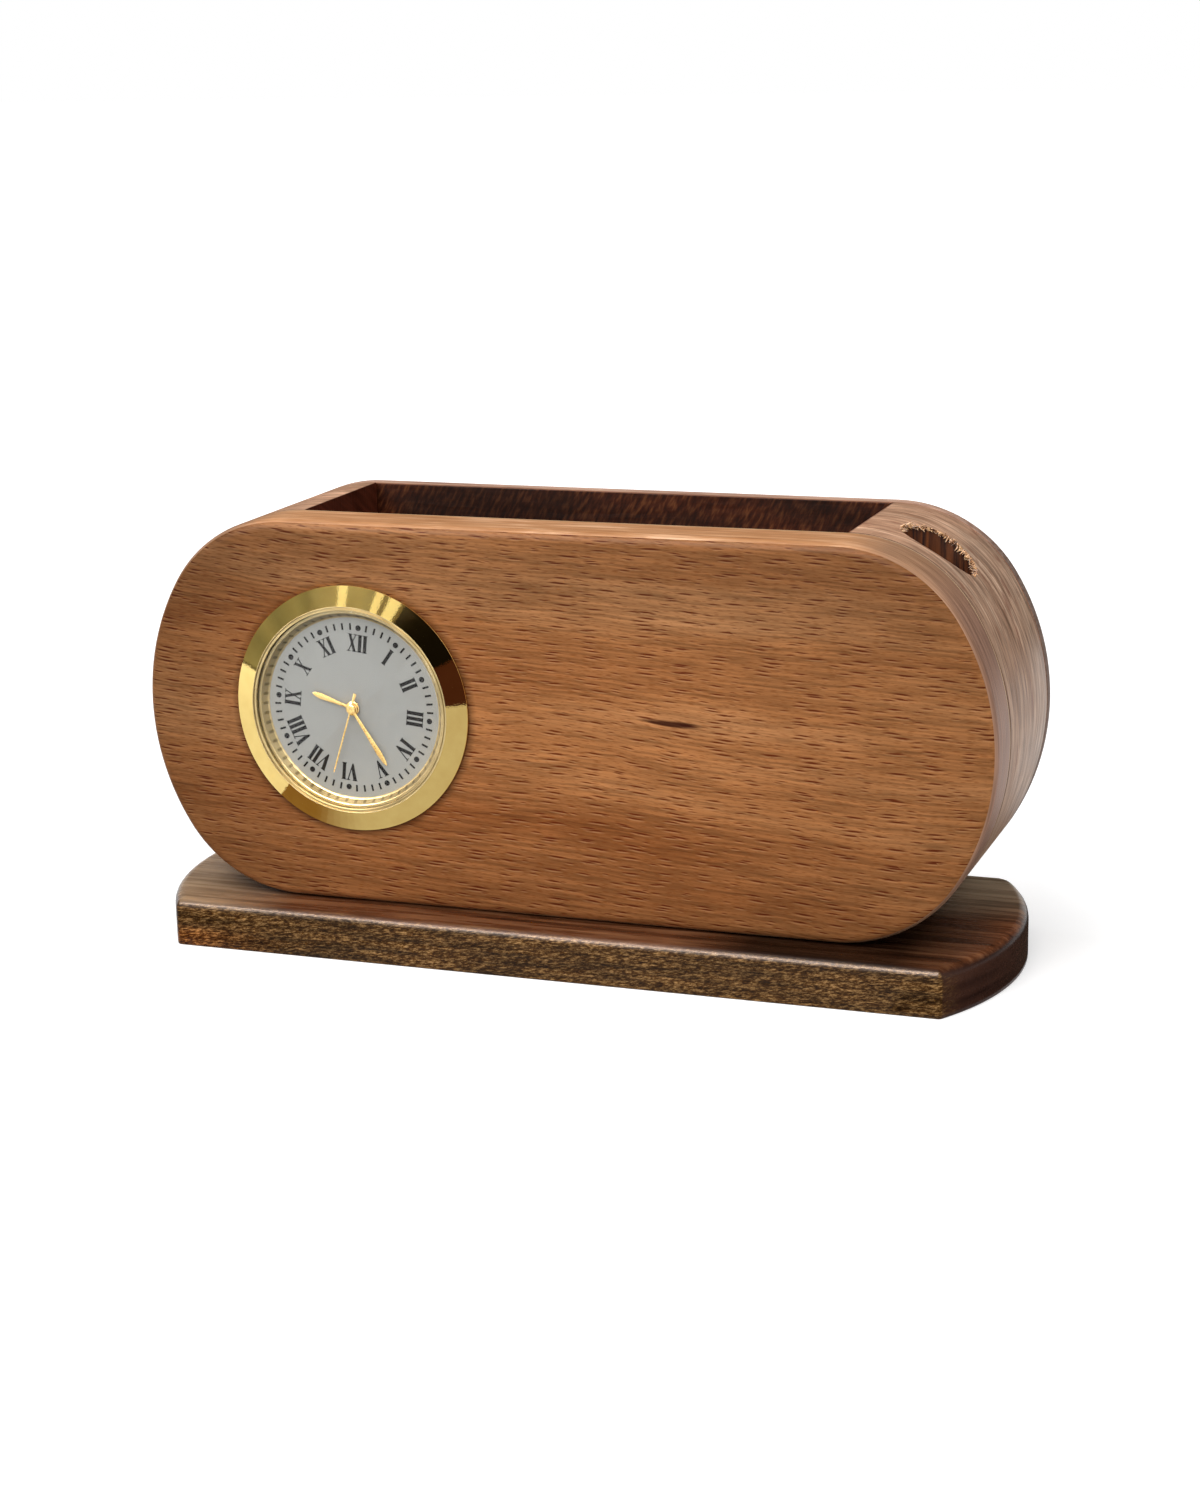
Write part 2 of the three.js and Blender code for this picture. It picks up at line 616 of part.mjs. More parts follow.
function movementHolder() {
  const from = dialRear + handFit;
  const to = coverFront - handFit;
  const body = ring(plateRadius + PLATE_FIT, caseBore - CASE_FIT, from, to, FINE);
  return cut(solid(body), ...crownChannel());
}

function backCover() {
  const hole = at(disc(hatchHole, coverFront - LAYER_GAP, coverRear + LAYER_GAP, MEDIUM), cellX, cellZ);
  return cut(solid(disc(coverBore - COVER_FIT, coverFront, coverRear, FINE)), hole);
}

function batteryHatch() {
  const slot = new THREE.BoxGeometry(COIN_SLOT_LENGTH, 2 * COIN_SLOT_DEPTH, COIN_SLOT_WIDTH);
  slot.translate(0, coverRear, 0);
  const plate = cut(solid(disc(hatchHole - HATCH_CLEARANCE, coverFront, coverRear, MEDIUM)), slot);
  const hatch = piece('battery_hatch', geometryOf(plate), BLACK_PLASTIC);
  hatch.position.set(cellX, 0, cellZ);
  return hatch;
}

function caseParts() {
  const bandRear = coverRear - GRIP_BAND_MARGIN;
  const band = ring(caseRadius + handFit, gripRadius, bandRear - GRIP_BAND_WIDTH, bandRear, FINE);
  const dial = ring(hourPipe + HAND_GAP, caseBore - CASE_FIT, dialFront, dialRear, FINE);
  return [
    piece('bezel', closed(bezel()), GOLD),
    piece('lens', closed(disc(lensRadius, lensFront, lensRear, FINE)), GLASS),
    piece('dial_ring', closed(dialRing()), GOLD),
    piece('dial', closed(dial), DIAL_WHITE),
    piece('case_cup', geometryOf(caseCup()), BRASS),
    piece('grip_band', closed(band), RUBBER),
    piece('movement_holder', geometryOf(movementHolder()), WHITE_PLASTIC),
    piece('back_cover', geometryOf(backCover()), BLACK_PLASTIC),
    batteryHatch(),
  ];
}

// The main plate carries three pillars at the rear and the minute wheel's stud at the front.
function mainPlate() {
  const pillars = pillarPlaces.map(([x, z]) =>
    at(disc(PILLAR_RADIUS, plateRear - PLATE_THICKNESS / 2, bridgeFront - handFit, SMALL), x, z));
  const stud = at(disc(ARBOR_RADIUS, hourWheelFront - PINION_OVERHANG, plateFront + PLATE_THICKNESS / 2, SMALL),
    ...motionAxis);
  const through = (radius, [x, z]) =>
    at(disc(radius, plateFront - LAYER_GAP, plateRear + LAYER_GAP, SMALL), x, z);
  const pivotHole = PIVOT_RADIUS + MOVEMENT_FIT;
  const threadEnd = bridgeFront - BRIDGE_SCREW_GRIP - MOVEMENT_FIT;
  const threads = pillarPlaces.map(([x, z]) =>
    at(disc(BRIDGE_SCREW_RADIUS + MOVEMENT_FIT, threadEnd, bridgeRear, SMALL), x, z));
  return cut(
    join(disc(plateRadius, plateFront, plateRear, FINE), ...pillars, stud),
    through(centrePipe + MOVEMENT_FIT, [0, 0]), through(pivotHole, thirdAxis),
    through(pivotHole, fifthAxis), through(pivotHole, rotorAxis), ...threads,
  );
}

function trainBridge() {
  const from = bridgeFront - LAYER_GAP;
  const to = bridgeRear + LAYER_GAP;
  const through = (radius, [x, z]) => at(disc(radius, from, to, SMALL), x, z);
  const pivotHole = PIVOT_RADIUS + MOVEMENT_FIT;
  const cellWay = at(disc(cellRadius + CELL_CLEARANCE, from, to, MEDIUM), cellX, cellZ);
  return cut(
    solid(disc(plateRadius, bridgeFront, bridgeRear, FINE)), cellWay,
    ...[[0, 0], thirdAxis, fifthAxis, rotorAxis].map((axis) => through(pivotHole, axis)),
    ...pillarPlaces.map((place) => through(BRIDGE_SCREW_RADIUS + MOVEMENT_FIT, place)),
  );
}

function bridgeScrews() {
  const headFront = bridgeRear + handFit;
  return pillarPlaces.map(([x, z], i) => {
    const body = turned([
      [0, bridgeFront - BRIDGE_SCREW_GRIP], [BRIDGE_SCREW_RADIUS, bridgeFront - BRIDGE_SCREW_GRIP],
      [BRIDGE_SCREW_RADIUS, headFront], [BRIDGE_SCREW_HEAD_RADIUS, headFront],
      [BRIDGE_SCREW_HEAD_RADIUS, bridgeRear + BRIDGE_SCREW_HEAD], [0, bridgeRear + BRIDGE_SCREW_HEAD],
    ], SMALL);
    return piece(`bridge_screw_${i + 1}`, closed(at(body, x, z)), STEEL);
  });
}

// Train: rotor, fifth wheel, seconds wheel, third wheel and centre wheel, from the motor to the minute hand.
function secondsWheel() {
  const radius = share(fifthDistance, SECONDS_WHEEL_TEETH, FIFTH_PINION_TEETH);
  const pinionRadius = share(thirdDistance, SECONDS_PINION_TEETH, THIRD_WHEEL_TEETH);
  const shaft = turned([
    [0, secondFront], [ARBOR_RADIUS, secondFront], [ARBOR_RADIUS, arborRear], [PIVOT_RADIUS, arborRear],
    [PIVOT_RADIUS, arborRear + PIVOT_LENGTH], [0, arborRear + PIVOT_LENGTH],
  ], SMALL);
  return join(
    gear(SECONDS_WHEEL_TEETH, radius, 0, secondsWheelFront, secondsWheelFront + WHEEL_THICKNESS),
    gear(SECONDS_PINION_TEETH, pinionRadius, 0, thirdWheelFront - PINION_OVERHANG, secondsWheelFront),
    shaft,
  );
}

function thirdWheel() {
  const radius = share(thirdDistance, THIRD_WHEEL_TEETH, SECONDS_PINION_TEETH);
  const pinionRadius = share(thirdDistance, THIRD_PINION_TEETH, CENTRE_WHEEL_TEETH);
  return join(
    gear(THIRD_WHEEL_TEETH, radius, thirdPhase, thirdWheelFront, thirdWheelFront + WHEEL_THICKNESS),
    gear(THIRD_PINION_TEETH, pinionRadius, thirdPhase, centreWheelFront - PINION_OVERHANG, thirdWheelFront),
    arbor(arborFront, arborRear),
  );
}

function centreWheel() {
  const radius = share(thirdDistance, CENTRE_WHEEL_TEETH, THIRD_PINION_TEETH);
  const blank = join(
    gear(CENTRE_WHEEL_TEETH, radius, centrePhase, centreWheelFront, centreWheelFront + WHEEL_THICKNESS),
    disc(centrePipe, dialFront, centreWheelFront + WHEEL_THICKNESS / 2, SMALL),
  );
  return cut(blank, disc(secondPipe, dialFront - LAYER_GAP, thirdWheelFront, SMALL));
}

function fifthWheel() {
  const radius = share(rotorDistance, FIFTH_WHEEL_TEETH, ROTOR_PINION_TEETH);
  const pinionRadius = share(fifthDistance, FIFTH_PINION_TEETH, SECONDS_WHEEL_TEETH);
  return join(
    gear(FIFTH_WHEEL_TEETH, radius, fifthPhase, fifthWheelFront, fifthWheelRear),
    gear(FIFTH_PINION_TEETH, pinionRadius, fifthPhase, secondsWheelFront - PINION_OVERHANG, fifthWheelFront),
    arbor(arborFront, arborRear),
  );
}

// The rotor's magnet is a ring on the pinion's arbor.
const magnetFront = plateRear + STATOR_LIFT;
function rotorPinion() {
  const pinionRadius = share(rotorDistance, ROTOR_PINION_TEETH, FIFTH_WHEEL_TEETH);
  return join(
    gear(ROTOR_PINION_TEETH, pinionRadius, rotorPhase, fifthWheelFront - PINION_OVERHANG, arborRear),
    arbor(arborFront, arborRear),
  );
}
const rotorMagnet = () =>
  ring(ARBOR_RADIUS + handFit, magnetRadius, magnetFront, magnetFront + MAGNET_LENGTH, MEDIUM);

// Motion work behind the dial: cannon pinion, minute wheel and hour wheel.
function cannonPinion() {
  const radius = share(motionDistance, CANNON_TEETH, MINUTE_WHEEL_TEETH);
  const rear = minuteWheelRear + PINION_OVERHANG;
  const blank = join(
    gear(CANNON_TEETH, radius, 0, minuteWheelFront - PINION_OVERHANG, rear),
    disc(cannonRadius, minuteFront, rear, MEDIUM),
  );
  return cut(blank, disc(cannonBore, minuteFront - LAYER_GAP, rear + LAYER_GAP, MEDIUM));
}

function minuteWheel() {
  const radius = share(motionDistance, MINUTE_WHEEL_TEETH, CANNON_TEETH);
  const pinionRadius = share(motionDistance, MINUTE_PINION_TEETH, HOUR_WHEEL_TEETH);
  const pinionFront = hourWheelFront - PINION_OVERHANG;
  const blank = join(
    gear(MINUTE_WHEEL_TEETH, radius, minuteWheelPhase, minuteWheelFront, minuteWheelRear),
    gear(MINUTE_PINION_TEETH, pinionRadius, minuteWheelPhase, pinionFront, minuteWheelFront),
  );
  return cut(blank, disc(ARBOR_RADIUS + MOVEMENT_FIT, dialRear, plateFront, SMALL));
}

function hourWheel() {
  const radius = share(motionDistance, HOUR_WHEEL_TEETH, MINUTE_PINION_TEETH);
  const rear = hourWheelFront + WHEEL_THICKNESS;
  const blank = join(
    gear(HOUR_WHEEL_TEETH, radius, hourPhase, hourWheelFront, rear),
    disc(hourPipe, hourFront, hourWheelFront + WHEEL_THICKNESS / 2, MEDIUM),
  );
  return cut(blank, disc(hourBore, hourFront - LAYER_GAP, rear + LAYER_GAP, MEDIUM));
}

function wheelOn(name, body, [x, z], material) {
  const mesh = piece(name, geometryOf(body), material);
  mesh.position.set(x, 0, z);
  return mesh;
}

function trainParts() {
  const magnet = piece('rotor_magnet', closed(rotorMagnet()), STEEL);
  magnet.position.set(rotorAxis[0], 0, rotorAxis[1]);
  return [
    wheelOn('rotor_pinion', rotorPinion(), rotorAxis, STEEL),
    magnet,
    wheelOn('fifth_wheel', fifthWheel(), fifthAxis, BRASS),
    wheelOn('seconds_wheel', secondsWheel(), [0, 0], BRASS),
    wheelOn('third_wheel', thirdWheel(), thirdAxis, BRASS),
    wheelOn('centre_wheel', centreWheel(), [0, 0], BRASS),
    wheelOn('cannon_pinion', cannonPinion(), [0, 0], STEEL),
    wheelOn('minute_wheel', minuteWheel(), motionAxis, BRASS),
    wheelOn('hour_wheel', hourWheel(), [0, 0], BRASS),
  ];
}

// Motor, circuit and cell stand on the main plate.
const statorRear = magnetFront + STATOR_THICKNESS;
const coreDepth = statorRear + handFit + CORE_SIZE / 2;
function stator() {
  const hole = magnetRadius + STATOR_AIR_GAP;
  const footRight = [coreRight - STATOR_FOOT_INSET, -coreDrop - CORE_SIZE / 2];
  const footLeft = [coreLeft + STATOR_FOOT_INSET, -coreDrop - CORE_SIZE / 2];
  const kneeLeft = [footLeft[0], -coreDrop + STATOR_KNEE_RISE];
  const hip = [rotorAxis[0], rotorAxis[1] - hole - STATOR_RING_WIDTH];
  const level = [magnetFront, statorRear];
  const body = join(
    at(disc(hole + STATOR_RING_WIDTH, ...level, MEDIUM), ...rotorAxis),
    bar(rotorAxis, footRight, STATOR_BAR_WIDTH, ...level),
    bar(hip, kneeLeft, STATOR_BAR_WIDTH, ...level),
    bar(kneeLeft, footLeft, STATOR_BAR_WIDTH, ...level),
    at(disc(STATOR_BAR_WIDTH / 2, ...level, SMALL), ...kneeLeft),
  );
  return cut(body, at(disc(hole, magnetFront - LAYER_GAP, statorRear + LAYER_GAP, MEDIUM), ...rotorAxis));
}

function coilParts() {
  const middle = (coreLeft + coreRight) / 2;
  const core = new THREE.BoxGeometry(coreRight - coreLeft, CORE_SIZE, CORE_SIZE);
  core.translate(middle, coreDepth, -coreDrop);
  const bore = CORE_SIZE / Math.SQRT2 + handFit;
  const half = (coreRight - coreLeft) / 2 - COIL_END_MARGIN;
  const winding = ring(bore, COIL_RADIUS, -half, half, MEDIUM);
  winding.rotateZ(Math.PI / 2).translate(middle, coreDepth, -coreDrop);
  return [piece('coil_core', closed(core), STEEL), piece('coil', closed(winding), COPPER)];
}

function circuitParts() {
  const boardFront = plateRear + BOARD_LIFT;
  const boardRear = boardFront + BOARD_THICKNESS;
  const board = new THREE.BoxGeometry(BOARD_WIDTH, BOARD_THICKNESS, BOARD_HEIGHT);
  board.translate(boardX, (boardFront + boardRear) / 2, boardZ);
  const can = new THREE.CylinderGeometry(CAN_RADIUS, CAN_RADIUS, CAN_LENGTH, MEDIUM);
  can.rotateZ(Math.PI / 2);
  can.translate(boardX, boardRear + handFit + CAN_RADIUS, boardZ + BOARD_HEIGHT / 2 - CAN_RADIUS - handFit);
  const chipFront = boardRear + handFit;
  const chip = turned([
    [0, chipFront], [CHIP_RADIUS, chipFront], [CHIP_RADIUS * Math.SQRT1_2, chipFront + CHIP_HEIGHT / 2],
    [0, chipFront + CHIP_HEIGHT],
  ], SMALL);
  at(chip, boardX, boardZ - BOARD_HEIGHT / 2 + CHIP_RADIUS + handFit);
  return [
    piece('circuit_board', closed(board), BOARD_GREEN),
    piece('quartz_can', closed(can), STEEL),
    piece('chip_bead', closed(chip), BLACK_PLASTIC),
  ];
}

function cellParts() {
  const contactFront = plateRear + CONTACT_GAP;
  const contactRear = contactFront + CONTACT_THICKNESS;
  const cellFront = contactRear + CONTACT_GAP;
  const tail = polar(CONTACT_TAIL, CONTACT_TAIL_ANGLE);
  const contact = join(
    at(disc(CONTACT_PAD_RADIUS, contactFront, contactRear, MEDIUM), cellX, cellZ),
    bar([cellX, cellZ], [cellX + tail[0], cellZ + tail[1]], CONTACT_TAIL_WIDTH, contactFront, contactRear),
  );
  const cell = at(disc(cellRadius, cellFront, cellFront + CELL_THICKNESS, MEDIUM), cellX, cellZ);
  return [
    piece('cell', closed(cell), STEEL),
    piece('cell_contact', geometryOf(contact), BRASS),
  ];
}

// The stem runs out along +X from the minute wheel, and the ribbed crown caps its end.
function stemParts() {
  const minuteRim = share(motionDistance, MINUTE_WHEEL_TEETH, CANNON_TEETH);
  const rim = motionDistance + minuteRim * (1 + 2 * TOOTH_ADDENDUM / MINUTE_WHEEL_TEETH);
  const stemStart = rim + STEM_REACH;
  const stemEnd = crownStart + CROWN_BORE_DEPTH - MOVEMENT_FIT;
  const stem = new THREE.CylinderGeometry(STEM_RADIUS, STEM_RADIUS, stemEnd - stemStart, SMALL);
  stem.rotateZ(-Math.PI / 2).translate((stemStart + stemEnd) / 2, 0, 0);
  const outline = new THREE.Shape();
  for (let i = 0; i < 2 * CROWN_RIBS; i += 1) {
    const radius = CROWN_RADIUS - (i % 2) * CROWN_RIB_DEPTH;
    const angle = i * Math.PI / CROWN_RIBS;
    if (i === 0) outline.moveTo(radius, 0);
    else outline.lineTo(radius * Math.cos(angle), radius * Math.sin(angle));
  }
  const knob = new THREE.ExtrudeGeometry(outline, { depth: CROWN_LENGTH, bevelEnabled: false });
  knob.rotateY(Math.PI / 2).translate(crownStart, 0, 0);
  const bore = new THREE.CylinderGeometry(STEM_RADIUS + MOVEMENT_FIT, STEM_RADIUS + MOVEMENT_FIT,
    2 * CROWN_BORE_DEPTH, SMALL);
  bore.rotateZ(Math.PI / 2).translate(crownStart, 0, 0);
  const parts = [piece('setting_stem', closed(stem), STEEL),
    piece('crown', geometryOf(cut(solid(knob), bore)), BLACK_PLASTIC)];
  parts.forEach((part) => part.position.set(0, stemDepth, 0));
  return parts;
}

function clock() {
  const group = new THREE.Group();
  group.position.set(CLOCK_X, faceY, holderZ + CLOCK_RISE);
  group.add(
    ...caseParts(), ...hands(),
    piece('main_plate', geometryOf(mainPlate()), BRASS),
    piece('train_bridge', geometryOf(trainBridge()), BRASS),
    ...bridgeScrews(), ...trainParts(),
    piece('stator', geometryOf(stator()), STEEL),
    ...coilParts(), ...circuitParts(), ...cellParts(), ...stemParts(),
  );
  return group;
}

const penHolderClock = new THREE.Group();
penHolderClock.add(basePlate(), ...baseScrews(), holder(), clock());

export default penHolderClock;
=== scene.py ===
"""Looks of the pen holder clock: varnished boards, a gold push-in clock with a printed dial, and a plain studio."""
import json
import math

import bmesh
import bpy
from mathutils import Matrix, Vector
from mathutils.geometry import tessellate_polygon


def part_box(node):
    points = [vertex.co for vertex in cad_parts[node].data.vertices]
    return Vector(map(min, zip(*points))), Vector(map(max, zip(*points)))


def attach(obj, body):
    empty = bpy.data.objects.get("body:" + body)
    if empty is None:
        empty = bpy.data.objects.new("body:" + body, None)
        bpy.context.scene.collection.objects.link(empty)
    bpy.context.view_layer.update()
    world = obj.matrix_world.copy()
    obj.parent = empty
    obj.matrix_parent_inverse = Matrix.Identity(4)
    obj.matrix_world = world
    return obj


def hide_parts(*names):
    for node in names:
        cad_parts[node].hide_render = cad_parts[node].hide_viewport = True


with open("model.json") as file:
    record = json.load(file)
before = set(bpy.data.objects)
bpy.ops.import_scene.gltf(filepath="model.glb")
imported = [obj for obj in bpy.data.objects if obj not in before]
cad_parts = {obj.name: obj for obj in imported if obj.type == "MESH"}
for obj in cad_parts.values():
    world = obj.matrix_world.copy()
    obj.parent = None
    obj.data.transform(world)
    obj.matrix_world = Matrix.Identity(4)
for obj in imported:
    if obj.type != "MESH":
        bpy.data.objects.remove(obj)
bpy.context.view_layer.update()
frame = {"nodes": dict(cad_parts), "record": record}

# Lengths are in millimetres until a mesh or a node takes them in metres
MM = 0.001


def box_mm(node):
    low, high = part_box(node)
    return low / MM, high / MM


# Boards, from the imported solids
face_low, face_high = box_mm("front_panel")
block_low, block_high = box_mm("right_end_block")
rear_low, rear_high = box_mm("rear_panel")
base_low, base_high = box_mm("base_plate")
HALF_WIDTH = face_high.x
HALF_HEIGHT = (face_high.z - face_low.z) / 2
HOLDER_Z = (face_high.z + face_low.z) / 2
FACE_Y = face_low.y
WELL_SIDE = block_low.x
CORNER_RADIUS = 28.2
END_RADIUS = 48.4
END_X = HALF_WIDTH - END_RADIUS
CORNER_UP = HALF_HEIGHT - CORNER_RADIUS
CORNER_STEP = math.sqrt((END_RADIUS - CORNER_RADIUS) ** 2 - CORNER_UP ** 2)
CORNER_X = END_X + CORNER_STEP
BASE_END_BULGE = 9.1
BASE_FRONT_CORNER = 1.2
BASE_REAR_CORNER = 4.5
LEAST_CORNER = 0.2
FACE_ROUND = 2.2
FACE_FINISH_TURN = 0.3
BLOCK_ROUND = 0.5
REAR_ROUND = 0.5
BASE_ROUND = 2.1
BASE_FOOT_ROUND = 0.4
BOARD_CREASE = 35

# Steps on each curve of the boards
CORNER_STEPS = 18
END_STEPS = 26
BASE_FRONT_STEPS = 6
BASE_END_STEPS = 40
BASE_REAR_STEPS = 10
CLOCK_HOLE_STEPS = 96
PEN_HOLE_STEPS = 96
PILOT_STEPS = 24
SCREW_HOLE_STEPS = 32

# Pen hole: place, radius, floor, the drill's point, and how far the drill starts above the holder
PEN_HOLE = (70.5, 2.9)
PEN_HOLE_RADIUS = 7.3
PEN_HOLE_FLOOR = 25.8
DRILL_POINT = 0.6
DRILL_CONE = 1.2
DRILL_START = 5

# Torn fibres on the pen hole's far rim: rows as steps out of the hole and down, angles, count and size
SPLINTER_ROWS = ((0.1, 0.12), (0.02, 0.45))
SPLINTER_FROM, SPLINTER_TO = math.radians(-18), math.radians(200)
SPLINTER_COUNT = 90
SPLINTER_LENGTH = 1.0
SPLINTER_WIDTH = 0.22
SPLINTER_TIP = 0.12
SPLINTER_SIZES = (0.45, 1.5)
SPLINTER_STRAY = ((-0.7, -0.7, -0.9), (0.7, 0.7, 0.6))
SPLINTER_SEED = 7

# Base screws, their thread in turns and in shares of the shank, core and stem, and their holes
SCREW_NODES = [f"base_screw_{i}" for i in range(1, 5)]
SCREW_HEAD_Z = 0.6
SCREW_LENGTH = 26
SCREW_SHANK = 1.5
SCREW_HEAD_RADIUS = 3.2
SCREW_HEAD_DEPTH = 2.2
SCREW_SLOT = 0.75
SCREW_SLOT_REACH = 1.1
SCREW_CORE = 0.72
SCREW_TIP = 0.1
THREAD_TURNS = 9.0
THREAD_RIDGE = 0.17
THREAD_WIDE, THREAD_NARROW = 0.86, 0.95
THREAD_FROM, THREAD_HEIGHT = 0.2, 0.8
SINK_RADIUS = 3.5
CLEARANCE_RADIUS = 1.8
SCREW_HOLE_FROM, SCREW_HOLE_TO = -1, 12

# The front board's grain: its fall to the right in degrees, its dashes (cell length, cell height, share of the cell),
# the drop of the painted highlight on a dash's lower lip, and the mineral streak
GRAIN_FALL = -3
LONG_DASH = (8.4, 0.8, 0.245)
SHORT_DASH = (2.7, 0.42, 0.3)
LIP_HIGHLIGHT_DROP = 0.26
STREAK_X, STREAK_Z = 24.4, 51.2
STREAK_REACH = 9.5
STREAK_HEIGHT = 1.0
STREAK_FALL = 0.6

# Clock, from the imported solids
bezel_low, bezel_high = box_mm("bezel")
band_low, band_high = box_mm("grip_band")
CLOCK_X = (bezel_low.x + bezel_high.x) / 2
CLOCK_Z = (bezel_low.z + bezel_high.z) / 2
BEZEL_RADIUS = (bezel_high.x - bezel_low.x) / 2
CLOCK_HOLE = 22.2
DIAL_TURN = math.radians(6)
DIAL_DEPTH = box_mm("dial")[0].y - FACE_Y

# Printing on the dial, and the gap that keeps it off the paint
PRINT_RISE = 0.03
PRINT_GAP = 0.002
NUMERALS = "XII I II III IV V VI VII VIII IX X XI"
NUMERAL_FOOT = 11.5
NUMERAL_HEIGHT = 3.55
NUMERAL_GAP = 0.1
SERIF = 0.17
STROKE_RING = 16.55
STROKE_LENGTH = 1.35
STROKE_WIDTH = 0.4
DOT_RING = 16.4
DOT_WIDTH = 1.15

# Hands: the time shown, one thickness, the share of it that the ridge stands above the sides, the hub's slanted edge,
# and for each hand its body, node, depth, hub, bore, and blade as distances from the axis with half widths
TIME_SHOWN = (9, 23, 32)
HAND_THICKNESS = 0.15
HAND_RIDGE = 0.45
HUB_EDGE = 0.08
HUB_DROP = 0.01
HUB_STEPS = 40
HAND_SHAPES = (
    ("hour_blade", "hour", "hour_hand", -0.15, 1.42, 1.02,
     [(1.2, 0.27), (3.5, 0.36), (7.2, 0.6), (8.4, 0.42), (8.9, 0.16), (9.0, 0.04)]),
    ("minute_blade", "minute", "minute_hand", -0.55, 1.16, 0.76,
     [(0.95, 0.27), (4.5, 0.34), (10.4, 0.55), (12.4, 0.38), (13.1, 0.14), (13.2, 0.04)]),
    ("second_blade", "second", "second_hand", -0.95, 0.89, 0.29,
     [(-3.4, 0.3), (-3.3, 0.32), (-0.6, 0.17), (0.6, 0.16), (11.2, 0.15), (13.6, 0.1), (13.9, 0.03)]))

# Turned clock pieces: radius, and depth behind the front board's face
BEZEL_PROFILE = [
    (20.2, -0.1), (20.2, -1.9), (20.28, -2.0), (20.5, -2.0), (20.56, -1.78), (20.8, -1.78), (20.86, -2.06),
    (20.96, -2.085), (21.04, -2.07), (24.93, -0.54), (24.99, -0.44), (25.0, -0.4), (25.0, -0.1), (22.05, -0.1),
    (22.05, 1.5), (21.7, 1.5), (21.7, -0.1)]
BEZEL_LIP = 21
BEZEL_STEPS = 160
LENS_PROFILE = [(0, -2.0), (20.0, -2.0), (20.1, -1.9), (20.1, -1.2), (0, -1.2)]
DIAL_RIM_PROFILE = [
    (19.6, -1.15), (20.1, -1.15), (20.1, 0.45), (18.4, 0.45), (18.44, 0.4), (18.62, 0.36), (18.74, 0.26), (19.5, -1.09)]
DIAL_PROFILE = [(1.22, 0.5), (20.5, 0.5), (20.5, 0.9), (1.22, 0.9)]

# Ribs on the rubber band
RIB_RING = 22.0
RIB_RADIUS = 0.16
RIB_LENGTH = 3.4
RIB_COUNT = 60


def spaced(start, stop, steps):
    return [start + (stop - start) * i / steps for i in range(steps + 1)]


def neighbours(items):
    """Each item with the next, and the last with the first."""
    return zip(items, items[1:] + items[:1])


def around(steps):
    """Angles once round, without the last that meets the first."""
    return spaced(0, 2 * math.pi, steps)[:-1]


def arc(x, z, radius, start, stop, steps):
    return [(x + radius * math.cos(a), z + radius * math.sin(a)) for a in spaced(start, stop, steps)]


def in_scene(name, data):
    made = bpy.data.objects.new(name, data)
    bpy.context.scene.collection.objects.link(made)
    return made


def mesh_from(name, points, faces=()):
    """A plain mesh from points in metres."""
    mesh = bpy.data.meshes.new(name)
    mesh.from_pydata(points, [], faces)
    return mesh


def toned(colour):
    """A colour as a node takes it: a socket as it is, a grey level or three channels with their alpha."""
    if isinstance(colour, bpy.types.NodeSocket):
        return colour
    return (*((colour,) * 3 if isinstance(colour, (int, float)) else colour), 1.0)


class Tree:
    """A node tree being built: each call adds a node, and most hand back the socket to use next."""

    def __init__(self, tree):
        self.tree = tree
        tree.nodes.clear()

    def node(self, kind, inputs=None, **settings):
        made = self.tree.nodes.new(kind)
        for key, value in settings.items():
            setattr(made, key, value)
        for key, value in (inputs or {}).items():
            if isinstance(value, bpy.types.NodeSocket):
                self.tree.links.new(value, made.inputs[key])
            else:
                made.inputs[key].default_value = value
        return made

    def maths(self, operation, a, b=0.0, c=0.0):
        return self.node("ShaderNodeMath", {0: a, 1: b, 2: c}, operation=operation).outputs[0]

    def times(self, a, b):
        return self.maths("MULTIPLY", a, b)

    def vector_maths(self, operation, a, b=(0, 0, 0)):
        return self.node("ShaderNodeVectorMath", {0: a, 1: b}, operation=operation).outputs[0]

    def combined(self, **axes):
        return self.node("ShaderNodeCombineXYZ", axes).outputs[0]

    def axes(self, vector):
        return self.node("ShaderNodeSeparateXYZ", {0: vector}).outputs


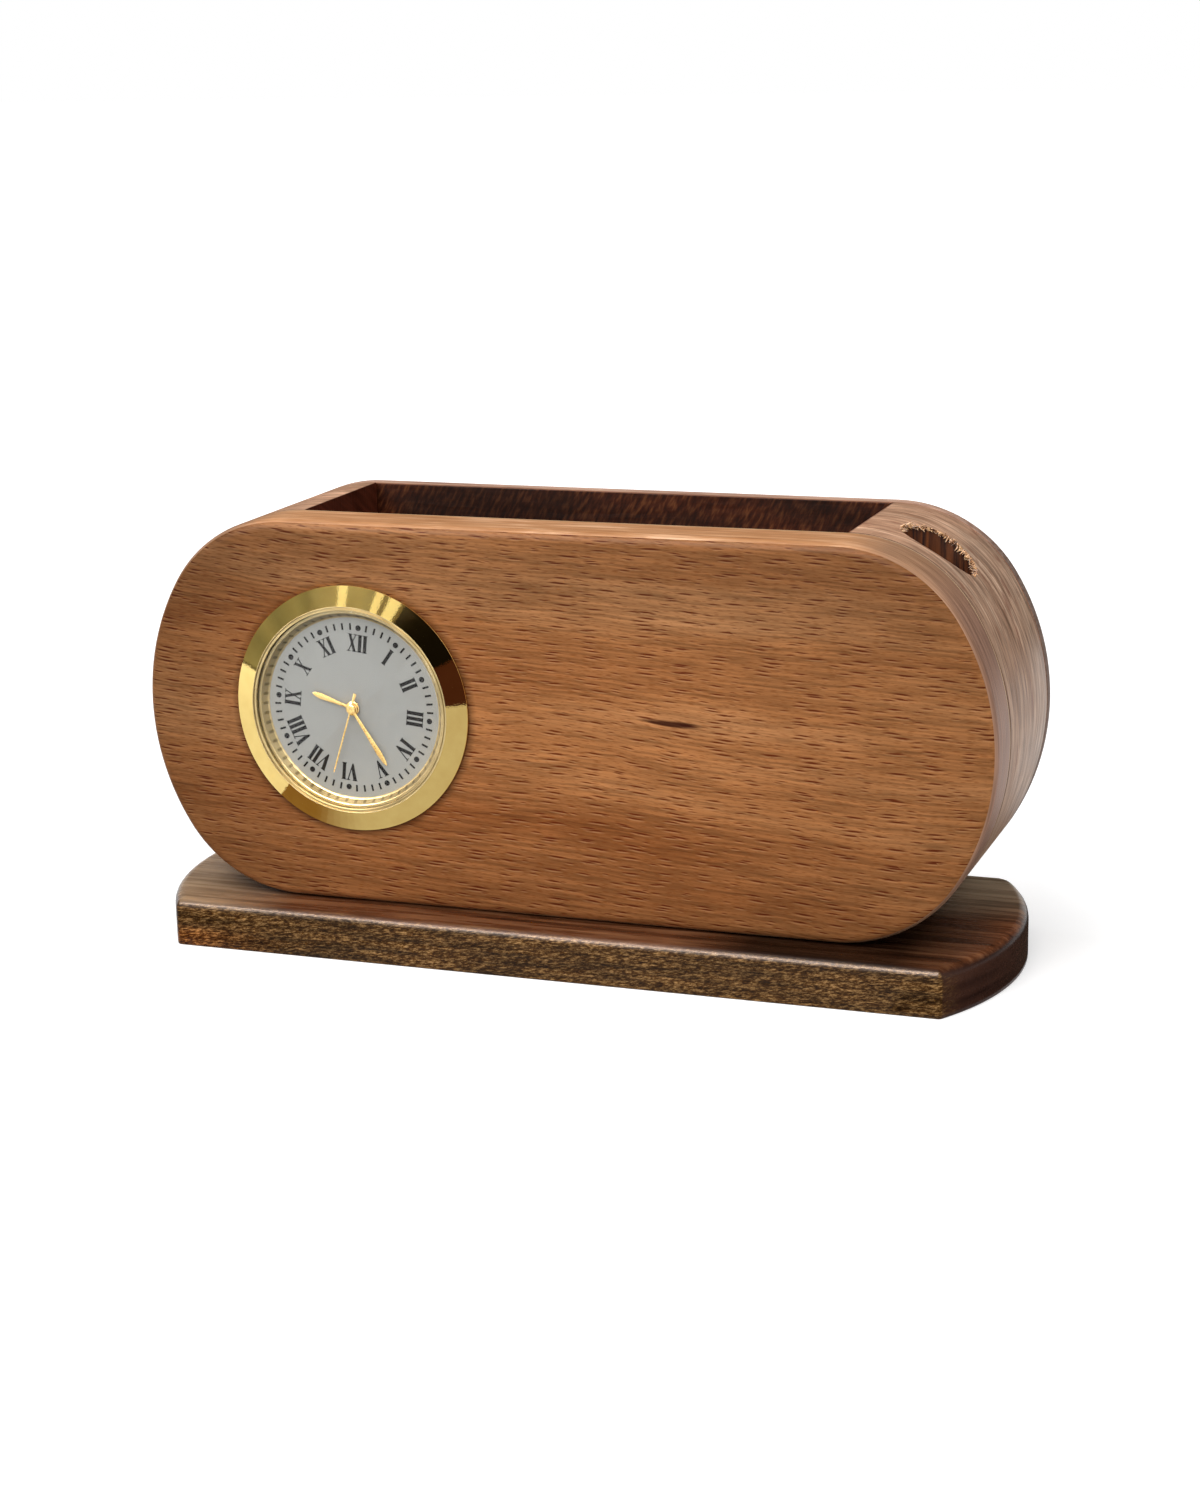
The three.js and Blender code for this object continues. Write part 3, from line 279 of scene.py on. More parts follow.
class Finish(Tree):
    """A material being built on the piece's own coordinates. Pattern scales are in repeats per metre."""

    def __init__(self, name):
        self.material = bpy.data.materials.new(name)
        self.material.use_nodes = True
        super().__init__(self.material.node_tree)
        self.coordinates = self.node("ShaderNodeTexCoord").outputs

    def place(self):
        return self.axes(self.coordinates["Object"])

    def facing(self):
        return self.axes(self.coordinates["Normal"])

    def placed(self, scale, turn=(0, 0, 0), shift=(0, 0, 0), vector=None):
        """Coordinates stretched, turned and shifted for one pattern."""
        source = vector or self.coordinates["Object"]
        turned = [math.radians(a) for a in turn]
        return self.node("ShaderNodeMapping", {"Vector": source, "Scale": scale, "Rotation": turned,
                                               "Location": shift}).outputs[0]

    def leaning(self, scale, turn):
        """Coordinates turned first and stretched after, for a pattern that runs aslant."""
        return self.placed(scale, vector=self.placed((1, 1, 1), turn))

    def noise(self, vector, detail=2.0, roughness=0.5):
        return self.node("ShaderNodeTexNoise", {"Vector": vector, "Scale": 1.0, "Detail": detail,
                                                "Roughness": roughness}).outputs[0]

    def waved(self, scale, amount, shift=(0, 0, 0), source=None):
        """Coordinates with a drift up and down, so that grain lines wander."""
        drift = self.noise(self.placed(scale, shift=shift), 1.0)
        drift = self.maths("MULTIPLY_ADD", drift, amount * MM, -amount * MM / 2)
        return self.vector_maths("ADD", source or self.coordinates["Object"], self.combined(Z=drift))

    def dashes(self, cell_length, cell_height, share, vector, shift=(0, 0, 0)):
        """Lens-shaped dashes along X, one to a cell and of mixed length: 1 in a dash, 0 outside."""
        flat = self.placed((1 / (cell_length * MM), 1.0, 1 / (cell_height * MM)), (-90, 0, 0), shift, vector)
        cells = self.node("ShaderNodeTexVoronoi", {"Vector": flat, "Scale": 1.0}, voronoi_dimensions="2D")
        size = self.maths("MULTIPLY_ADD", self.axes(cells.outputs["Color"])[0], share, share * 0.35)
        return self.ramp(self.maths("DIVIDE", cells.outputs["Distance"], size), (0.35, 1.0), (1.0, 0.0))

    def ramp(self, factor, *stops):
        made = self.node("ShaderNodeValToRGB", {0: factor})
        elements = made.color_ramp.elements
        while len(elements) < len(stops):
            elements.new(0.5)
        for element, (position, colour) in zip(elements, stops):
            element.position = position
            element.color = toned(colour)
        return made.outputs[0]

    def tones(self, noise, low, high):
        """A ramp over the middle of a noise, where nearly all of it lies."""
        return self.ramp(noise, (0.3, low), (0.7, high))

    def along(self, length, *stops):
        """A ramp over a length, with its stops in millimetres."""
        low, high = stops[0][0], stops[-1][0]
        share = self.maths("MULTIPLY_ADD", length, 1 / ((high - low) * MM), -low / (high - low))
        return self.ramp(share, *(((at - low) / (high - low), colour) for at, colour in stops))

    def reach(self, a, b, centre):
        """The distance from an axis, across two coordinates."""
        steps = [self.maths("SUBTRACT", value, middle * MM) for value, middle in zip((a, b), centre)]
        return self.maths("SQRT", self.maths("ADD", *(self.times(step, step) for step in steps)))

    def mix(self, factor, a, b, mode="MIX"):
        return self.node("ShaderNodeMix", {0: factor, 6: toned(a), 7: toned(b)}, data_type="RGBA", blend_type=mode,
                         clamp_factor=True).outputs[2]

    def shaded(self, colour, shade):
        return self.mix(1.0, colour, shade, "MULTIPLY")

    def done(self, colour, roughness, height=None, relief=0.0, **sockets):
        """Closes the material with one shader; relief is the depth of the bump."""
        inputs = {"Base Color": colour, "Roughness": roughness}
        inputs.update({key.replace("_", " "): value for key, value in sockets.items()})
        if height is not None:
            inputs["Normal"] = self.node("ShaderNodeBump", {"Strength": 1.0, "Distance": relief * MM,
                                                            "Height": height}).outputs[0]
        shader = self.node("ShaderNodeBsdfPrincipled", inputs)
        self.node("ShaderNodeOutputMaterial", {"Surface": shader.outputs[0]})
        return self.material


def beech_tone(f, grain):
    """Beech's soft bands and fine fibres."""
    bands = f.noise(f.placed((5, 20, 46), vector=grain), 3.0, 0.6)
    fibres = f.noise(f.placed((75, 700, 2100), vector=grain), 4.0, 0.65)
    colour = f.ramp(bands, (0.3, (0.185, 0.062, 0.017)), (0.5, (0.29, 0.117, 0.04)), (0.7, (0.395, 0.187, 0.078)))
    return f.shaded(colour, f.tones(fibres, 0.58, 1.38)), fibres


def beech_face():
    """Orange-brown beech: soft bands, dark dashes with a painted highlight on their lower lip, one mineral streak,
    painted shade towards the ends, the bottom and a band under the top, and a painted shadow round the bezel.
    """
    f = Finish("beech_face")
    sloped = f.placed((1, 1, 1), (0, GRAIN_FALL, 0))
    grain = f.waved((170, 170, 150), 0.5, source=f.waved((14, 14, 26), 5, source=sloped))
    colour, fibres = beech_tone(f, grain)
    long_dashes = f.dashes(*LONG_DASH, grain)
    # Painted highlight: the dashes again, dropped a little and paled, as the lit lower lip of each dash
    lip_highlights = f.dashes(*LONG_DASH, f.vector_maths("ADD", grain, (0, 0, LIP_HIGHLIGHT_DROP * MM)))
    short_dashes = f.dashes(*SHORT_DASH, grain, shift=(7.3, 4.1, 0))
    for mask, strength, tone in ((lip_highlights, 0.32, (0.5, 0.262, 0.118)), (short_dashes, 0.42, (0.13, 0.028, 0.003)),
                                 (long_dashes, 0.95, (0.085, 0.011, 0.001))):
        colour = f.mix(f.times(mask, strength), colour, tone)
    x, _, z = f.place()
    width, height = face_high.x - face_low.x, face_high.z - face_low.z
    # Painted shade: the face darker towards its left and right ends, at the bottom, and in a band under the top edge
    colour = f.shaded(colour, f.along(x, *((face_low.x + share * width, tone) for share, tone in (
        (0.0, 0.6), (0.1, 0.74), (0.26, 1.0), (0.66, 1.0), (0.9, 0.84), (1.0, 0.76)))))
    colour = f.shaded(colour, f.along(z, *((face_low.z + share * height, tone) for share, tone in (
        (0.05, 0.88), (0.3, 1.0), (0.6, 1.0), (0.72, 0.9), (0.86, 0.68), (0.96, 0.68), (1.0, 0.95)))))
    # Painted shadow: a dark ring on the face just outside the bezel
    from_clock = f.reach(x, z, (CLOCK_X, CLOCK_Z))
    colour = f.shaded(colour, f.along(from_clock, (BEZEL_RADIUS, 0.42), (BEZEL_RADIUS + 1.6, 1.0)))
    across = f.maths("DIVIDE", f.maths("SUBTRACT", x, STREAK_X * MM), STREAK_REACH * MM)
    up = f.maths("DIVIDE", f.maths("SUBTRACT", z, STREAK_Z * MM), STREAK_HEIGHT * MM)
    up = f.maths("MULTIPLY_ADD", across, STREAK_FALL, up)
    away = f.maths("ADD", f.times(across, across), f.times(up, up))
    streak = f.ramp(f.maths("MULTIPLY_ADD", fibres, 0.9, away), (0.6, 0.95), (1.3, 0.0))
    colour = f.mix(streak, colour, (0.028, 0.005, 0.0015))
    dents = f.mix(0.5, f.maths("SUBTRACT", 1.0, long_dashes), fibres)
    return f.done(colour, f.tones(fibres, 0.38, 0.5), dents, 0.04, Specular_IOR_Level=0.02)


def beech_edge():
    """The front board's sanded edge: pale lines on the straights, mauve-grey end grain partly as a painted sheen,
    painted shade underneath, a gold glue line behind.
    """
    f = Finish("beech_edge")
    colour, _ = beech_tone(f, f.waved((14, 14, 26), 4))
    lines = f.noise(f.placed((40, 900, 40)), 3.0, 0.6)
    hair = f.noise(f.placed((90, 2600, 90)), 3.0)
    planed = f.noise(f.placed((55, 760, 55)), 4.0, 0.65)
    straight = f.ramp(planed, (0.32, (0.33, 0.14, 0.053)), (0.5, (0.5, 0.25, 0.115)), (0.68, (0.82, 0.5, 0.3)))
    straight = f.mix(0.3, straight, colour)
    corner = f.tones(hair, (0.2, 0.1, 0.052), (0.38, 0.215, 0.125))
    # Mauve-grey end grain where the edge turns to the sides, partly a painted sheen
    end = f.shaded(f.tones(lines, (0.17, 0.088, 0.058), (0.3, 0.172, 0.12)), f.tones(hair, 0.75, 1.2))
    nx, _, nz = f.facing()
    turn = f.maths("ABSOLUTE", nx)
    colour = f.mix(f.ramp(turn, (0.04, 0.0), (0.32, 1.0)), straight, corner)
    colour = f.mix(f.ramp(turn, (0.5, 0.0), (0.92, 1.0)), colour, end)
    # Painted shade: the edge darker where it faces down
    colour = f.shaded(colour, f.ramp(f.maths("MULTIPLY_ADD", nz, 0.5, 0.5), (0.05, 0.35), (0.42, 1.0)))
    _, y, _ = f.place()
    glue = f.along(y, (face_high.y - 0.98, 0.0), (face_high.y - 0.56, 0.9))
    colour = f.mix(f.times(glue, f.ramp(hair, (0.35, 0.4), (0.6, 1.0))), colour, (0.56, 0.4, 0.23))
    return f.done(colour, f.tones(lines, 0.34, 0.48), hair, 0.1, Specular_IOR_Level=0.09)


def block_wood():
    """The end blocks: tan wood, fine grain over the curve, reddish figure marks, a painted sheen on faces turned up,
    and painted shade in the pen hole and on the saw-marked well walls.
    """
    f = Finish("block_wood")
    lines = f.noise(f.placed((50, 620, 50)), 4.0, 0.62)
    hair = f.noise(f.placed((150, 1600, 150)), 4.0, 0.6)
    cloud = f.noise(f.placed((45, 60, 45)))
    colour = f.ramp(lines, (0.28, (0.165, 0.088, 0.052)), (0.5, (0.305, 0.188, 0.124)), (0.72, (0.46, 0.315, 0.222)))
    colour = f.shaded(colour, f.tones(hair, 0.5, 1.42))
    colour = f.shaded(colour, f.tones(cloud, 0.86, 1.1))
    figure = f.noise(f.leaning((300, 420, 90), (0, 0, 25)))
    marks = f.times(f.ramp(figure, (0.56, 0.0), (0.68, 0.6)), f.ramp(cloud, (0.48, 0.0), (0.6, 1.0)))
    colour = f.mix(marks, colour, (0.16, 0.06, 0.034))
    _, _, nz = f.facing()
    # Painted sheen: faces turned up paler and greyer
    colour = f.shaded(colour, f.ramp(nz, (0.75, 1.0), (0.98, (1.4, 1.28, 1.2))))
    x, y, z = f.place()
    seam = f.along(y, (block_low.y + 0.24, 0.7), (block_low.y + 0.54, 0.0))
    colour = f.mix(seam, colour, (0.09, 0.045, 0.028))
    # Painted shade inside the pen hole, with the bore's streaks
    inside = f.along(f.reach(x, y, PEN_HOLE), (PEN_HOLE_RADIUS + 0.02, 1.0), (PEN_HOLE_RADIUS + 0.12, 0.0))
    inside = f.times(inside, f.maths("GREATER_THAN", z, (PEN_HOLE_FLOOR - 1) * MM))
    bore = f.noise(f.placed((1100, 1100, 60)), 3.0)
    colour = f.mix(inside, colour, f.ramp(bore, (0.35, (0.014, 0.002, 0.0005)), (0.65, (0.13, 0.036, 0.009))))
    # Painted shade on the well walls, with saw marks
    saw = f.noise(f.leaning((90, 90, 900), (28, 0, 0)), 3.0)
    wall = f.along(f.maths("ABSOLUTE", x), (WELL_SIDE + 0.02, 1.0), (WELL_SIDE + 0.35, 0.0))
    colour = f.mix(wall, colour, f.tones(saw, (0.028, 0.005, 0.002), (0.09, 0.02, 0.009)))
    return f.done(colour, f.tones(cloud, 0.34, 0.48), hair, 0.08, Specular_IOR_Level=0.1)


def rear_wood():
    """The thin rear board: reddish brown with small dashes, a pale sanded rim and a saw-hatched well side darkened as
    painted shade.
    """
    f = Finish("rear_wood")
    grain = f.waved((190, 190, 150), 0.9, source=f.waved((16, 16, 24), 4, shift=(5, 0, 0)))
    lines = f.noise(f.placed((40, 500, 1100), vector=grain), 4.0, 0.6)
    bands = f.noise(f.placed((7, 20, 50), vector=grain), 3.0)
    dashes = f.dashes(4.6, 0.56, 0.3, grain, shift=(2.7, 8.3, 0))
    colour = f.shaded(f.tones(bands, (0.15, 0.053, 0.024), (0.25, 0.1, 0.048)), f.tones(lines, 0.72, 1.22))
    colour = f.mix(f.times(dashes, 0.55), colour, (0.06, 0.018, 0.007))
    saw = f.noise(f.leaning((1250, 40, 330), (0, -28, 0)))
    patches = f.noise(f.placed((45, 40, 90)))
    # Painted shade on the well side, with saw hatching and patches
    painted_well_shade = f.ramp(saw, (0.36, (0.024, 0.004, 0.001)), (0.5, (0.05, 0.01, 0.003)), (0.7, (0.125, 0.038, 0.012)))
    painted_well_shade = f.shaded(painted_well_shade, f.ramp(patches, (0.38, 0.35), (0.64, 1.0)))
    nx, ny, _ = f.facing()
    sanded = f.tones(lines, (0.27, 0.15, 0.105), (0.5, 0.32, 0.235))
    sanded = f.shaded(sanded, f.ramp(f.maths("ABSOLUTE", nx), (0.3, 1.0), (0.8, (0.38, 0.42, 0.46))))
    colour = f.mix(f.ramp(f.maths("ABSOLUTE", ny), (0.4, 1.0), (0.8, 0.0)), colour, sanded)
    colour = f.mix(f.ramp(f.times(ny, -1.0), (0.8, 0.0), (0.95, 1.0)), colour, painted_well_shade)
    return f.done(colour, f.tones(lines, 0.42, 0.58), f.mix(0.5, lines, saw), 0.12, Specular_IOR_Level=0.02)


def base_wood():
    """The dark base: reddish grain on top, paler to the left partly as a painted sheen, a painted shadow under the
    holder's right end, painted sheen at the far right and the rear right corner, gold and dark speckle on its long
    edges, darker ends.
    """
    f = Finish("base_wood")
    lines = f.noise(f.placed((30, 420, 400), vector=f.waved((12, 20, 12), 2)), 4.0, 0.65)
    top = f.ramp(lines, (0.32, (0.022, 0.007, 0.003)), (0.5, (0.078, 0.026, 0.01)), (0.72, (0.18, 0.078, 0.034)))
    x, y, z = f.place()
    # Paler towards the left end: partly the wood's tone, partly a painted sheen
    left = f.along(x, (-80, 0.9), (-55, 0.0))
    top = f.mix(left, top, f.ramp(lines, (0.32, (0.165, 0.1, 0.055)), (0.7, (0.4, 0.27, 0.16))))
    # Painted shadow on the top under the holder's right end, and a painted sheen at the far right end
    top = f.shaded(top, f.along(x, (25, 1.0), (42, 0.16), (70, 0.2), (80, 0.8), (88, 1.9)))
    # Painted sheen: pale grey-tan towards the rear right corner
    rear_corner_sheen = f.times(f.along(y, (0, 0.0), (18.6, 0.85)), f.along(x, (55, 0.0), (75, 1.0)))
    top = f.mix(rear_corner_sheen, top, f.ramp(lines, (0.32, (0.15, 0.105, 0.065)), (0.7, (0.36, 0.27, 0.18))))
    speck = f.noise(f.leaning((820, 820, 3400), (0, 6, 0)), 4.0, 0.75)
    streaks = f.noise(f.placed((60, 60, 800)), 3.0)
    edge = f.ramp(speck, (0.36, (0.009, 0.003, 0.0006)), (0.5, (0.05, 0.021, 0.0045)), (0.66, (0.25, 0.14, 0.053)))
    edge = f.shaded(edge, f.tones(streaks, 0.4, 1.6))
    low_left = f.times(left, f.along(z, (2.5, 0.7), (5.0, 0.0)))
    edge = f.mix(low_left, edge, f.shaded(edge, (1.7, 1.0, 0.5)))
    end = f.tones(f.noise(f.placed((40, 40, 500)), 3.0), (0.016, 0.006, 0.004), (0.04, 0.016, 0.01))
    _, ny, nz = f.facing()
    colour = f.mix(f.ramp(f.maths("ABSOLUTE", ny), (0.45, 0.0), (0.75, 1.0)), end, edge)
    colour = f.mix(f.ramp(f.maths("ABSOLUTE", nz), (0.5, 0.0), (0.9, 1.0)), colour, top)
    return f.done(colour, f.tones(lines, 0.2, 0.34), f.mix(0.5, lines, speck), 0.05, Specular_IOR_Level=0.08)


def splinter_wood():
    """Raw torn fibres at the pen hole's rim."""
    f = Finish("splinter_wood")
    mottle = f.noise(f.placed((700, 700, 700)))
    colour = f.ramp(mottle, (0.32, (0.13, 0.045, 0.013)), (0.5, (0.36, 0.17, 0.06)), (0.68, (0.6, 0.36, 0.16)))
    return f.done(colour, f.tones(mottle, 0.6, 0.8))


def metal(name, pale, deep, smooth, dull, scale=(300, 300, 300), relief=0.004):
    """A metal whose tone and polish drift a little, with fine rubbing marks."""
    f = Finish(name)
    drift = f.noise(f.placed(scale), 3.0)
    rubs = f.noise(f.placed(tuple(s * 9 for s in scale)))
    return f.done(f.tones(drift, deep, pale), f.tones(rubs, smooth, dull), rubs, relief, Metallic=1.0)


def satin_ring():
    """The ring round the dial: satin gold with a painted reflection of the dial's mark at every minute."""
    f = Finish("satin_ring")
    x, y, z = f.place()
    angle = f.maths("ARCTAN2", f.maths("SUBTRACT", x, CLOCK_X * MM), f.maths("SUBTRACT", z, CLOCK_Z * MM))
    # Painted reflection: a dark dash at each minute, where the ring would mirror the dial's strokes
    tick_reflection_wave = f.maths("SINE", f.maths("MULTIPLY_ADD", angle, 60.0, -60 * DIAL_TURN + math.pi / 2))
    drift = f.noise(f.placed((160, 160, 160)))
    colour = f.tones(drift, (0.27, 0.215, 0.105), (0.34, 0.275, 0.145))
    inner = f.along(y, (FACE_Y - 0.86, 0.0), (FACE_Y - 0.52, 1.0), (FACE_Y + 0.245, 1.0), (FACE_Y + 0.415, 0.0))
    colour = f.mix(f.times(f.ramp(tick_reflection_wave, (0.35, 0.0), (0.8, 0.7)), inner), colour, (0.07, 0.05, 0.02))
    return f.done(colour, f.tones(drift, 0.32, 0.4), Metallic=1.0)


def moulded(name, pale, deep, roughness, shine=0.5):
    """A moulded plastic or rubber with a fine sparked surface."""
    f = Finish(name)
    grain = f.noise(f.placed((900, 900, 900)), 3.0)
    cloud = f.noise(f.placed((120, 120, 120)))
    return f.done(f.tones(cloud, deep, pale), f.tones(grain, roughness - 0.06, roughness + 0.08), grain, 0.03,
                  Specular_IOR_Level=shine)


def dial_paint():
    """Matt off-white paint with a faint mottle."""
    f = Finish("dial_paint")
    mottle = f.noise(f.placed((500, 500, 500)), 3.0)
    cloud = f.noise(f.placed((60, 60, 60)))
    fine, broad = (f.tones(noise, (0.272, 0.277, 0.262), (0.302, 0.307, 0.29)) for noise in (mottle, cloud))
    return f.done(f.mix(0.5, fine, broad), f.tones(mottle, 0.5, 0.62), Specular_IOR_Level=0.12)


def lens_glass():
    """Clear glass as a faint mirror film, so that light still reaches the dial."""
    f = Finish("lens_glass")
    smear = f.noise(f.placed((90, 90, 90)))
    return f.done(f.tones(smear, 0.42, 0.5), f.tones(smear, 0.02, 0.05), Metallic=1.0, Alpha=0.02)


BEECH_FACE = beech_face()
BEECH_EDGE = beech_edge()
BLOCK_WOOD = block_wood()
REAR_WOOD = rear_wood()
BASE_WOOD = base_wood()
SPLINTER_WOOD = splinter_wood()
POLISHED_GOLD = metal("polished_gold", (0.66, 0.495, 0.178), (0.61, 0.44, 0.15), 0.02, 0.04)
SATIN_RING = satin_ring()
HAND_GOLD = metal("hand_gold", (0.84, 0.6, 0.24), (0.74, 0.5, 0.17), 0.22, 0.34, relief=0.001)
BRASS = metal("turned_brass", (0.72, 0.54, 0.24), (0.6, 0.43, 0.17), 0.22, 0.38)
STEEL = metal("plain_steel", (0.6, 0.61, 0.62), (0.48, 0.49, 0.5), 0.25, 0.4)
COPPER = metal("copper_winding", (0.6, 0.24, 0.1), (0.45, 0.15, 0.06), 0.25, 0.4, (200, 4000, 4000))
DIAL_PAINT = dial_paint()
DIAL_PRINT = moulded("dial_print", (0.008, 0.008, 0.009), (0.005, 0.005, 0.006), 0.6, shine=0.06)
LENS_GLASS = lens_glass()
BLACK_PLASTIC = moulded("black_plastic", (0.02, 0.02, 0.021), (0.013, 0.013, 0.014), 0.45)
WHITE_PLASTIC = moulded("white_plastic", (0.7, 0.68, 0.63), (0.62, 0.6, 0.55), 0.45)
RUBBER = moulded("grip_rubber", (0.014, 0.014, 0.014), (0.009, 0.009, 0.009), 0.72)
BOARD_GREEN = moulded("board_green", (0.025, 0.13, 0.055), (0.015, 0.09, 0.04), 0.4)
SLOT_FINISHES = {
    "dark_wood": BASE_WOOD, "beech": BEECH_FACE, "pale_wood": BLOCK_WOOD, "red_wood": REAR_WOOD,
    "gold": POLISHED_GOLD, "brass": BRASS, "steel": STEEL, "glass": LENS_GLASS, "dial_white": DIAL_PAINT,
    "black_plastic": BLACK_PLASTIC, "white_plastic": WHITE_PLASTIC, "rubber": RUBBER, "copper": COPPER,
    "board_green": BOARD_GREEN,
}


def mesh_of(bm, name):
    bmesh.ops.recalc_face_normals(bm, faces=bm.faces)
    mesh = bpy.data.meshes.new(name)
    bm.to_mesh(mesh)
    bm.free()
    return mesh


def piece_of(mesh, name, finishes, body, slot, nodes=(), sharp=40):
    """A finished piece that rides on a body and stands for CAD nodes; edges above the sharp angle stay crisp."""
    made = in_scene(name, mesh)
    for finish in finishes:
        mesh.materials.append(finish)
    mesh.shade_smooth()
    mesh.set_sharp_from_angle(angle=math.radians(sharp))
    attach(made, body)
    if nodes:
        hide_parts(*nodes)


def piece_from(bm, name, *details):
    """A finished piece from faces just built."""
    bmesh.ops.remove_doubles(bm, verts=bm.verts, dist=1e-7)
    piece_of(mesh_of(bm, name), name, *details)


def corner_at(bm, x, y, z):
    return bm.verts.new((x * MM, y * MM, z * MM))


def skin(bm, a, b, finish=0):
    """Faces between two closed rings of as many corners."""
    for i in range(len(a)):
        bm.faces.new((a[i - 1], a[i], b[i], b[i - 1])).material_index = finish


def right_arch(inset):
    """The holder's right end, from the bottom straight round to the top straight."""
    meet = math.atan2(CORNER_UP, CORNER_STEP)
    return (arc(CORNER_X, -CORNER_UP, CORNER_RADIUS - inset, -math.pi / 2, -meet, CORNER_STEPS)
            + arc(END_X, 0, END_RADIUS - inset, -meet, meet, END_STEPS)[1:-1]
            + arc(CORNER_X, CORNER_UP, CORNER_RADIUS - inset, meet, math.pi / 2, CORNER_STEPS))


def holder_outline(inset):
    right = right_arch(inset)
    return right + [(-x, z) for x, z in reversed(right)]


def block_outline(inset, side):
    wall = WELL_SIDE + inset
    points = right_arch(inset) + [(wall, HALF_HEIGHT - inset), (wall, inset - HALF_HEIGHT)]
    return points if side > 0 else [(-x, z) for x, z in reversed(points)]


def base_outline(inset):
    """The base seen from above: straight front and rear edges, bulging ends and softer corners at the rear."""
    half_depth = base_high.y
    radius = (half_depth ** 2 + BASE_END_BULGE ** 2) / (2 * BASE_END_BULGE)
    centre = base_high.x - radius

    def corner(size):
        """A corner's radius, the place of its centre and the angle where it meets the end's arc."""
        left = max(size - inset, LEAST_CORNER)
        up = half_depth - inset - left
        step = math.sqrt((radius - inset - left) ** 2 - up ** 2)
        return left, centre + step, up, math.atan2(up, step)

    front, front_x, front_y, front_turn = corner(BASE_FRONT_CORNER)
    rear, rear_x, rear_y, rear_turn = corner(BASE_REAR_CORNER)
    right = (arc(front_x, -front_y, front, -math.pi / 2, -front_turn, BASE_FRONT_STEPS)
             + arc(centre, 0, radius - inset, -front_turn, rear_turn, BASE_END_STEPS)[1:-1]
             + arc(rear_x, rear_y, rear, rear_turn, math.pi / 2, BASE_REAR_STEPS))
    return right + [(-x, y) for x, y in reversed(right)]


def rounded_edges(near, far, round_near, round_far, steps=6):
    """Inset and depth pairs that carry an outline from its near face over both rounded edges to its far face."""
    turns = spaced(0, math.pi / 2, steps)
    first = [(round_near * (1 - math.sin(t)), near + round_near * (1 - math.cos(t))) for t in turns]
    last = [(round_far * (1 - math.cos(t)), far - round_far * (1 - math.sin(t))) for t in turns]
    return first + last


def loft(bm, rings, side_finish=0, bores=()):
    """Skins a stack of closed rings and fills its two ends with the first finish, around any bores."""
    for a, b in zip(rings, rings[1:]):
        skin(bm, a, b, side_finish)
    for end, ring in ((0, rings[0]), (-1, rings[-1])):
        if not bores:
            bm.faces.new(ring)
            continue
        loops = [ring] + [bore[end] for bore in bores]
        edges = [bm.edges.get((loop[i - 1], loop[i])) for loop in loops for i in range(len(loop))]
        for made in bmesh.ops.triangle_fill(bm, use_beauty=True, edges=edges)["geom"]:
            if isinstance(made, bmesh.types.BMFace):
                made.material_index = 0


def upright_rings(bm, outline, profile):
    """Rings in X and Z at each depth of a profile."""
    return [[corner_at(bm, x, y, z + HOLDER_Z) for x, z in outline(inset)] for inset, y in profile]


def front_board():
    bm = bmesh.new()
    rings = upright_rings(bm, holder_outline, rounded_edges(FACE_Y, face_high.y, FACE_ROUND, BLOCK_ROUND))
    circle = arc(CLOCK_X, CLOCK_Z, CLOCK_HOLE, 0, 2 * math.pi, CLOCK_HOLE_STEPS)[:-1]
    bore = [[corner_at(bm, x, y, z) for x, z in circle] for y in (FACE_Y, face_high.y)]
    skin(bm, *bore)
    loft(bm, rings, 1, [bore])
    for face in bm.faces:
        if face.calc_center_median().y < (FACE_Y + FACE_FINISH_TURN * FACE_ROUND) * MM:
            face.material_index = 0
    piece_from(bm, "front_board", [BEECH_FACE, BEECH_EDGE], "stand", "beech", ["front_panel"], BOARD_CREASE)


def rear_board():
    bm = bmesh.new()
    loft(bm, upright_rings(bm, holder_outline, rounded_edges(rear_low.y, rear_high.y, REAR_ROUND, REAR_ROUND)))
    piece_from(bm, "rear_board", [REAR_WOOD], "stand", "red_wood", ["rear_panel"], BOARD_CREASE)


def cut_by(mesh, cutter):
    """A mesh with another mesh cut out of it."""
    target = in_scene("cut_target", mesh)
    tool = in_scene("cut_tool", cutter)
    modifier = target.modifiers.new("cut", "BOOLEAN")
    modifier.object = tool
    modifier.operation = "DIFFERENCE"
    modifier.solver = "EXACT"
    result = bpy.data.meshes.new_from_object(target.evaluated_get(bpy.context.evaluated_depsgraph_get()))
    result.materials.clear()
    for made in (target, tool):
        bpy.data.objects.remove(made)
    return result


def drill_bit(bm, x, y, profile, steps):
    """A closed turned shape about an upright axis, from radius and height pairs."""
    loft(bm, [[corner_at(bm, x + r * math.cos(a), y + r * math.sin(a), z) for a in around(steps)] for r, z in profile])


def screw_places():
    """The four base screws' axes."""
    boxes = [box_mm(node) for node in SCREW_NODES]
    return [((low.x + high.x) / 2, (low.y + high.y) / 2) for low, high in boxes]


